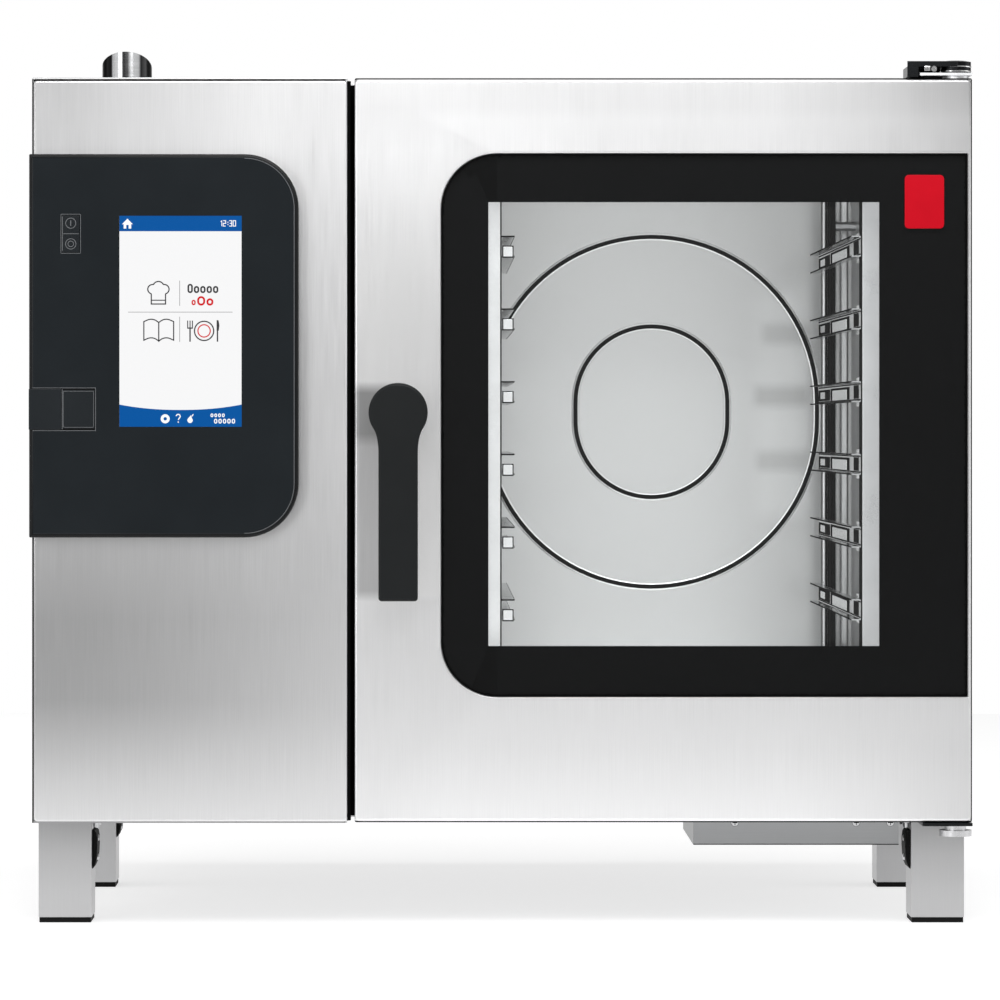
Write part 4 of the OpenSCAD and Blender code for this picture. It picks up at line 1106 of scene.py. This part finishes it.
def screen_picture():
    blue, white, grey, pale, red = Ink(), Ink(2), Ink(), Ink(), Ink()
    w = SCREEN_W
    blue.bar(0.0, 181.1, w, SCREEN_H, 0.05)
    dip = [(x / 20 * w, 15.6 + 5.0 * (abs(x / 10 - 1) ** 2.2)) for x in range(21)]
    blue.area([(0.0, 0.0), (w, 0.0), *dip[::-1]])
    # header: a house and the time
    white.area([(2.4, 187.6), (7.4, 192.8), (12.4, 187.6), (10.9, 187.6), (10.9, 183.6), (8.5, 183.6),
                (8.5, 187.0), (6.3, 187.0), (6.3, 183.6), (3.9, 183.6), (3.9, 187.6)])
    x = 93.4
    for c, step in (("1", 2.7), ("2", 3.6), (":", 2.0), ("3", 3.6), ("0", 3.6)):
        digit(white, c, x, 185.9)
        x += step
    # chef's hat
    hat = [(29.5, 113.7), (42.7, 113.7), (42.7, 122.8), *arc(41.6, 127.4, 4.4, -72, 92, 8),
           *arc(36.1, 129.4, 5.2, 28, 152, 9), *arc(30.6, 127.4, 4.4, 88, 252, 8), (29.5, 122.8)]
    grey.closed(hat, 1.15)
    grey.line([(29.7, 117.2), (42.5, 117.2)], 1.0)
    # the two tiles' dividers and captions
    pale.line([(55.8, 112.0), (55.8, 135.4)], 0.5)
    pale.line([(55.8, 78.6), (55.8, 102.0)], 0.5)
    pale.line([(8.0, 106.2), (104.8, 106.2)], 0.5)
    for i in range(5):
        marks(grey, 63.0 + 5.9 * i, 123.8, 5.0, 8.6 if i == 0 else 6.6, 1.6)
    marks(red, 66.8, 112.6, 3.8, 5.0, 1.3)
    marks(red, 72.0, 112.2, 7.4, 8.8, 1.8)
    marks(red, 80.6, 112.2, 6.4, 6.8, 1.8)
    # open book
    left = [(36.4, 79.4), *arc(29.4, 73.4, 9.0, 62, 118, 6), (22.6, 80.2), (22.6, 97.4),
            *arc(29.4, 90.6, 9.0, 118, 62, 6), (36.4, 96.6)]
    grey.closed(left, 1.1)
    grey.closed([(72.8 - px, pz) for px, pz in left][::-1], 1.1)
    # plate, fork and knife
    grey.ring(78.4, 88.8, 8.9, 1.2)
    red.ring(78.4, 88.8, 5.7, 1.1)
    grey.line([(65.4, 78.8), (65.4, 91.4)], 1.3)
    for fx in (63.2, 65.4, 67.6):
        grey.line([(fx, 91.2), (fx, 98.4)], 0.95)
    grey.line([(62.8, 91.4), (68.0, 91.4)], 1.2)
    grey.line([(90.8, 78.8), (90.8, 90.0)], 1.3)
    grey.area([(90.0, 89.0), (92.0, 89.0), (92.6, 94.0), (91.8, 98.6), (90.0, 98.8)])
    # footer
    white.ring(42.4, 7.4, 2.9, 2.6)
    white.line(arc(54.4, 9.6, 1.9, 170, -60, 9) + [(54.5, 6.4)], 1.0)
    white.bar(53.9, 3.8, 55.0, 4.9, 0.3)
    white.area([*arc(65.4, 6.0, 2.5, -220, 40, 14), (66.2, 10.6)])
    white.line([(67.0, 9.6), (68.4, 11.6)], 0.9)
    for i in range(4):
        marks(white, 84.4 + 3.5 * i, 8.9, 2.6, 3.4, 0.85)
    for i in range(5):
        marks(white, 87.6 + 4.1 * i, 3.0, 3.1, 4.4, 0.95)
    blue.place("screen_blue_bars", SCREEN_BLUE)
    white.place("screen_white_marks", SCREEN_WHITE)
    grey.place("screen_grey_marks", SCREEN_GREY)
    pale.place("screen_dividers", SCREEN_PALE)
    red.place("screen_red_marks", SCREEN_RED)


screen_picture()


# ---- handle


def handle():
    (x0, y0, _), (x1, _, z1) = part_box("door_handle")
    cx, r = (x0 + x1) / 2 / MM, (x1 - x0) / 2 / MM
    cz = z1 / MM - r
    # half the grip's width, its length below the hub's centre, and its low corners' radius
    w, reach, corner = 18.15, 174.0, 3.0
    # where the round hub passes into the neck, and the curve down to the straight grip
    start = -15.3
    half = math.sqrt(r * r - start * start)
    p0, p1 = Vector((half, start)), Vector((w, -37.0))
    m0, m1 = Vector((start / r, -half / r)) * 17, Vector((0, -1)) * 20
    side = []
    for i in range(13):
        t = i / 12
        side.append(p0 * (2 * t ** 3 - 3 * t * t + 1) + m0 * (t ** 3 - 2 * t * t + t)
                    + p1 * (3 * t * t - 2 * t ** 3) + m1 * (t ** 3 - t * t))
    turn = math.degrees(math.atan2(start, half))
    outline = [(-p.x, p.y) for p in side[:0:-1]] + arc(0, 0, r, 180 - turn, turn, 44)
    outline += [(p.x, p.y) for p in side[1:]]
    outline += arc(w - corner, corner - reach, corner, 0, -90, 6)
    outline += arc(corner - w, corner - reach, corner, -90, -180, 6)
    outline = [mm(cx + x, cz + z) for x, z in outline[::-1]]
    y_back = y0 + 0.024
    bm = bmesh.new()
    front = [ring_verts(bm, inset_outline(outline, d), y0 + dy) for d, dy in rounding(0.0026)]
    back = [ring_verts(bm, inset_outline(outline, d), y_back - dy) for d, dy in rounding(0.004)]
    rings = back[::-1] + front
    for a, b in zip(rings, rings[1:]):
        bridge(bm, a, b)
    cap(bm, rings[0])
    cap(bm, rings[-1])
    y_boss = y_back / MM
    boss = [(0, 24), (1.2, 23), (3, 22.2), (15, 21.6), (19.2, 21.6), (20.6, 22), (22.1, 22)]
    turned(bm, (cx, y_boss - 0.5, cz), "y", boss, 48)
    grip = piece("handle_grip", bm, HANDLE, "handle", "door_handle", angle=35)
    # the handle's reflection and shadow on the door are painted shade in STEEL_DOOR's tones
    grip.visible_glossy = False  # its reflection in the door is part of STEEL_DOOR's tones


handle()


# ---- legs, trough and hinges


def leg_clips():
    low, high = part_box("leg_clamps")
    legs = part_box("legs")
    # distance outside the leg's wall, and height
    clip = [(0.05, 50), (1.6, 51.2), (3.6, 56), (4.6, 63), (5.0, 71), (4.9, 79), (4.2, 84), (2.4, 86.4), (0.05, 87)]
    bm = bmesh.new()
    for x, s in ((legs[0][0] / MM + 50, 1), (legs[1][0] / MM - 50, -1)):
        for y in (low[1] / MM, high[1] / MM - 40):
            extruded(bm, [(x + s * out, z) for out, z in clip], "y", y + 2, y + 38)
            for dz in (60, 78):
                turned(bm, (x + s * 3.0, y + 20, dz), "x", [(0, 3.4), (s * 2.2, 3.2), (s * 2.6, 2.6)], 6, index=1)
    piece("leg_clips", bm, [RUBBER, STEEL_PART], "cabinet", "leg_clamps", angle=35)


def leg_bolts():
    """Bolt ends and nuts that hold each leg's plate under the base."""
    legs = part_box("legs")
    z = Z_BASE / MM
    bm = bmesh.new()
    for x in (legs[0][0] / MM + 54, legs[1][0] / MM - 54):
        for y in (legs[0][1] / MM + 8, legs[0][1] / MM + 42, legs[1][1] / MM - 42, legs[1][1] / MM - 8):
            turned(bm, (x, y, z), "z", [(-1.6, 6.4), (-0.1, 6.4)], 20)
            turned(bm, (x, y, z), "z", [(-6.4, 4.6), (-6.0, 5.2), (-2.0, 5.2), (-1.6, 5.0)], 6)
            turned(bm, (x, y, z), "z", [(-11.0, 2.2), (-10.4, 2.8), (-6.4, 2.8)], 14)
    piece("leg_bolts", bm, STEEL_PART, "cabinet")


def cross_slot(bm, x, z, y0, y1, reach):
    """The cross in a screw's head, as a black plate: painted shade in the slot."""
    for dx, dz in ((reach, 0.35), (0.35, reach)):
        block(bm, (x - dx, y0, z - dz), (x + dx, y1, z + dz), index=1)


def collector_rim():
    """The trough's folded rim, its end seams and its round-headed screws."""
    (x0, y0, z0), (x1, y1, z1) = box_mm("drip_collector")
    bm = bmesh.new()
    for a, b in (((x0 - 1.6, y0 - 1.0, z1 - 2.2), (x1, y0 + 0.1, z1 - 0.6)),
                 ((x0 - 1.6, y0 - 1.0, z1 - 2.2), (x0 + 0.1, y1, z1 - 0.6)),
                 ((x0 + 0.4, y0 - 0.5, z0 - 0.1), (x1, y0 + 0.1, z0 + 0.8))):
        block(bm, a, b, 0.25)
    piece("trough_rim", bm, STEEL_DARK, "cabinet")
    bm = bmesh.new()
    for x in (220.8, 335.4, 367.8):
        z = Z_BASE / MM - 5.5
        head = [(-2.4, 0.02), (-2.35, 1.2), (-2.0, 2.4), (-1.3, 3.4), (-0.5, 3.9), (0, 4.0)]
        turned(bm, (x, y0, z), "y", head, 20)
        cross_slot(bm, x, z, y0 - 2.5, y0 - 1.9, 2.4)
    piece("trough_screws", bm, [STEEL_RAIL, SHADOW], "cabinet", "collector_screws")


def rear_screws():
    """Round heads with a cross slot, on washers."""
    y = box_mm("panel_screws")[0][1]
    places = [(x, 120 + i * 130) for x in (-425.5, 425.5) for i in range(6)]
    places += [(-290 + i * 130, z) for i in range(5) for z in (120, Z_TOP / MM - 23.5)]
    head = [(0.02, 4.5), (0.5, 4.5), (0.55, 3.9), (1.4, 3.6), (2.0, 2.4), (2.2, 0.8)]
    bm = bmesh.new()
    for x, z in places:
        turned(bm, (x, y, z), "y", head, 20)
        cross_slot(bm, x, z, y + 1.9, y + 2.25, 2.0)
    piece("rear_screw_heads", bm, [STEEL_PART, SHADOW], "cabinet", "panel_screws")


def hinge_trim():
    """Polished caps, a grub screw and the cover's seam on the upper hinge."""
    (_, y0, _), (_, _, z1) = box_mm("hinge_bracket_top")
    hx, hy = HINGE
    bm = bmesh.new()
    turned(bm, (hx, hy, z1), "z", [(0.0, 11.4), (0.5, 11.2), (0.9, 10.2), (1.1, 6.0), (1.1, 0.5)], 36)
    for low, r in ((-5.2, 14.9), (-9.6, 14.8)):
        turned(bm, (hx, hy, z1 + low), "z", [(0, 14.5), (0.3, r), (0.9, r), (1.2, 14.5)], 36)
    turned(bm, (hx - 21.5, y0 - 0.2, z1 - 7.2), "y", [(0, 2.0), (0.0, 2.6), (3.0, 2.6)], 18)
    block(bm, (hx - 30.5, y0 - 0.15, z1 - 9.0), (hx - 25.0, y0 + 2, z1 - 4.6), 0.4)
    piece("hinge_caps", bm, STEEL_POLISHED, "cabinet")
    bm = bmesh.new()
    for x, y in ((hx - 30, -215), (hx - 8, -215), (hx - 8, -262)):
        turned(bm, (x, y, z1), "z", [(0.0, 4.8), (0.9, 4.8), (1.2, 4.4), (1.2, 2.4), (0.4, 2.3)], 24)
    piece("hinge_screws", bm, STEEL_PART, "cabinet")


leg_clips()
leg_bolts()
collector_rim()
rear_screws()
hinge_trim()


# ---- back and top


def rear_trim():
    """Folded louvre hoods over the slots, blank plate, and rings round the connections."""
    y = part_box("rear_panel")[1][1] / MM
    bm = bmesh.new()
    for i in range(6):
        z = 610 + i * 18
        hood = [(0, 8.8), (1.2, 8.4), (5.0, 3.6), (4.4, 3.2), (0.8, 7.4), (0, 7.8)]
        extruded(bm, [(y + out, z + up) for out, up in hood], "x", -370, -270)
    for i in range(8):
        x = -405 + i * 30
        hood = [(0, 545.9), (0.9, 545.5), (3.6, 542.2), (3.1, 541.9), (0.6, 544.9), (0, 545.1)]
        extruded(bm, [(y + out, z) for out, z in hood], "x", x - 0.5, x + 20.5)
    piece("rear_louvres", bm, STEEL_SIDE, "cabinet")
    bm = bmesh.new()
    for x, z, r, hole in ((-400, 165, 19.0, 13.6), (-350, 165, 19.0, 13.6), (170, Z_BASE / MM + 27, 33.0, 25.6)):
        ring = [(0.02, hole), (0.02, r), (0.9, r - 0.3), (1.2, r - 0.9), (1.2, hole + 0.6), (0.9, hole)]
        turned(bm, (x, y, z), "y", ring, 40, closed=False)
    for x in (-345 + 8, -235 - 8):
        turned(bm, (x, y + 8, 245), "y", [(0, 3.6), (1.0, 3.4), (1.7, 2.2), (1.9, 0.4)], 20)
    piece("rear_rings", bm, STEEL_PART, "cabinet")
    bm = slab(corner_outline(-0.160, 0.560, -0.060, 0.620, (0.003,) * 4, steps=4), 0, 0.0006, 0.0003, 2)
    for v in bm.verts:
        v.co.y = y * MM + 0.0006 - v.co.y
    piece("blank_plate", bm, PLATE, "cabinet")
    bm = bmesh.new()
    for i, z in enumerate((0.607, 0.597, 0.587, 0.577)):
        bar = rect(-0.152, z - 0.0016, -0.104 - 0.012 * (i % 2), z + 0.0016)
        prism(bm, bar, y * MM + 0.00055, y * MM + 0.00068)
    piece("blank_plate_bars", bm, PANEL_LINE, "cabinet")


def top_trim():
    """The vent's collar, with its welded fillet and its screws."""
    cx, cy = VENT
    top = Z_TOP / MM
    bm = bmesh.new()
    fillet = [(0, 31.0), (0.6, 30.0), (1.2, 27.4), (2.4, 26.0), (4.0, 25.2)]
    turned(bm, (cx, cy, top + 2), "z", fillet, 48, closed=False)
    for k in range(4):
        t = math.radians(45 + 90 * k)
        turned(bm, (cx + 31.2 * math.cos(t), cy + 31.2 * math.sin(t), top + 2), "z",
               [(-0.1, 2.4), (0.5, 2.3), (0.9, 1.4), (1.0, 0.3)], 14)
    piece("vent_collar", bm, STEEL_PART, "cabinet")


rear_trim()
top_trim()


# ---- camera, light, floor

scene = bpy.context.scene
scene.view_settings.view_transform = "Standard"
scene.view_settings.look = "None"

camera = bpy.data.cameras.new("camera")
camera.sensor_width = 36.0
camera.lens = 174.19
camera.shift_x = 0.069
camera.shift_y = -0.070
camera.clip_end = 60.0
camera_object = bpy.data.objects.new("camera", camera)
camera_object.location = (-0.0665, Y_FRONT - 4.5, 0.4656)
camera_object.rotation_euler = (math.radians(90), 0, 0)
scene.collection.objects.link(camera_object)
scene.camera = camera_object


def floor():
    bm = bmesh.new()
    bmesh.ops.create_circle(bm, cap_ends=True, segments=96, radius=3.2)
    mesh = bpy.data.meshes.new("floor")
    bm.to_mesh(mesh)
    bm.free()
    g = Graph("floor_paint")
    soft = g.noise((1.2, 1.2, 1.2), 2.0, 0.5)
    g.set(Base_Color=g.shade((0.50, 0.50, 0.50), g.span(soft, 0.995, 1.005)), Roughness=0.8)
    g.set(Specular_IOR_Level=0.0, Emission_Color=(1, 1, 1, 1), Emission_Strength=0.66)
    mesh.materials.append(g.mat)
    obj = bpy.data.objects.new("floor", mesh)
    obj.location = (0, 0.0, -0.0002)
    scene.collection.objects.link(obj)


floor()


def area(name, place, target, size, power):
    data = bpy.data.lights.new(name, "AREA")
    data.shape = "RECTANGLE"
    data.size, data.size_y = size
    data.energy = power
    obj = bpy.data.objects.new(name, data)
    obj.location = place
    obj.rotation_euler = (Vector(target) - Vector(place)).to_track_quat("-Z", "Y").to_euler()
    obj.visible_camera = False
    scene.collection.objects.link(obj)


# name, place, target, width and height, power in watts
LIGHTS = [
    ("light_high", (0.1, -1.95, 1.75), (0.1, -0.35, 0.75), (1.3, 0.7), 24),
    ("light_front", (0.1, -1.95, 1.35), (0.1, -0.35, 0.75), (1.3, 0.7), 7),
    ("light_front_left", (-1.6, -2.6, 0.9), (0, -0.35, 0.5), (0.8, 1.6), 10),
    ("light_left", (-2.4, -0.3, 1.1), (0, 0.0, 0.5), (1.6, 1.8), 8),
    ("light_right", (2.4, -0.1, 1.0), (0, 0.0, 0.5), (1.6, 1.8), 8),
    ("light_above", (0.0, 0.3, 2.8), (0, 0, 0.5), (2.5, 2.5), 20),
    ("light_back", (-1.2, 2.6, 1.5), (0, 0.4, 0.5), (1.8, 1.8), 8),
    ("light_chamber", (0.17, -0.283, 0.45), (0.17, 0.30, 0.45), (0.45, 0.53), 0.66),
]
for entry in LIGHTS:
    area(*entry)


def world():
    w = bpy.data.worlds.new("studio")
    scene.world = w
    w.use_nodes = True
    g = Tree(w.node_tree)
    g.tree.nodes.clear()
    split = g.node("ShaderNodeSeparateXYZ")
    g.put(split.inputs[0], g.node("ShaderNodeTexCoord").outputs["Generated"])
    half = g.node("ShaderNodeMath", operation="MULTIPLY_ADD")
    for socket, value in zip(half.inputs, (split.outputs["Y"], 0.5, 0.5)):
        g.put(socket, value)
    ramp = g.node("ShaderNodeValToRGB")
    g.put(ramp.inputs["Fac"], half.outputs[0])
    ramp.color_ramp.interpolation = "EASE"
    # from the front, over the sides, to the back
    set_stops(ramp, [(0.0, 0.27), (0.02, 0.27), (0.14, 0.60), (0.55, 0.60), (0.72, 0.16), (0.90, 0.16), (1.0, 0.6)])
    studio = g.node("ShaderNodeBackground", Color=ramp.outputs["Color"])
    # the camera itself sees white behind the object
    white = g.node("ShaderNodeBackground", Color=(1, 1, 1, 1))
    mix = g.node("ShaderNodeMixShader")
    seen = g.node("ShaderNodeLightPath").outputs["Is Camera Ray"]
    for socket, value in zip(mix.inputs, (seen, studio.outputs[0], white.outputs[0])):
        g.put(socket, value)
    g.put(g.node("ShaderNodeOutputWorld").inputs["Surface"], mix.outputs[0])


world()
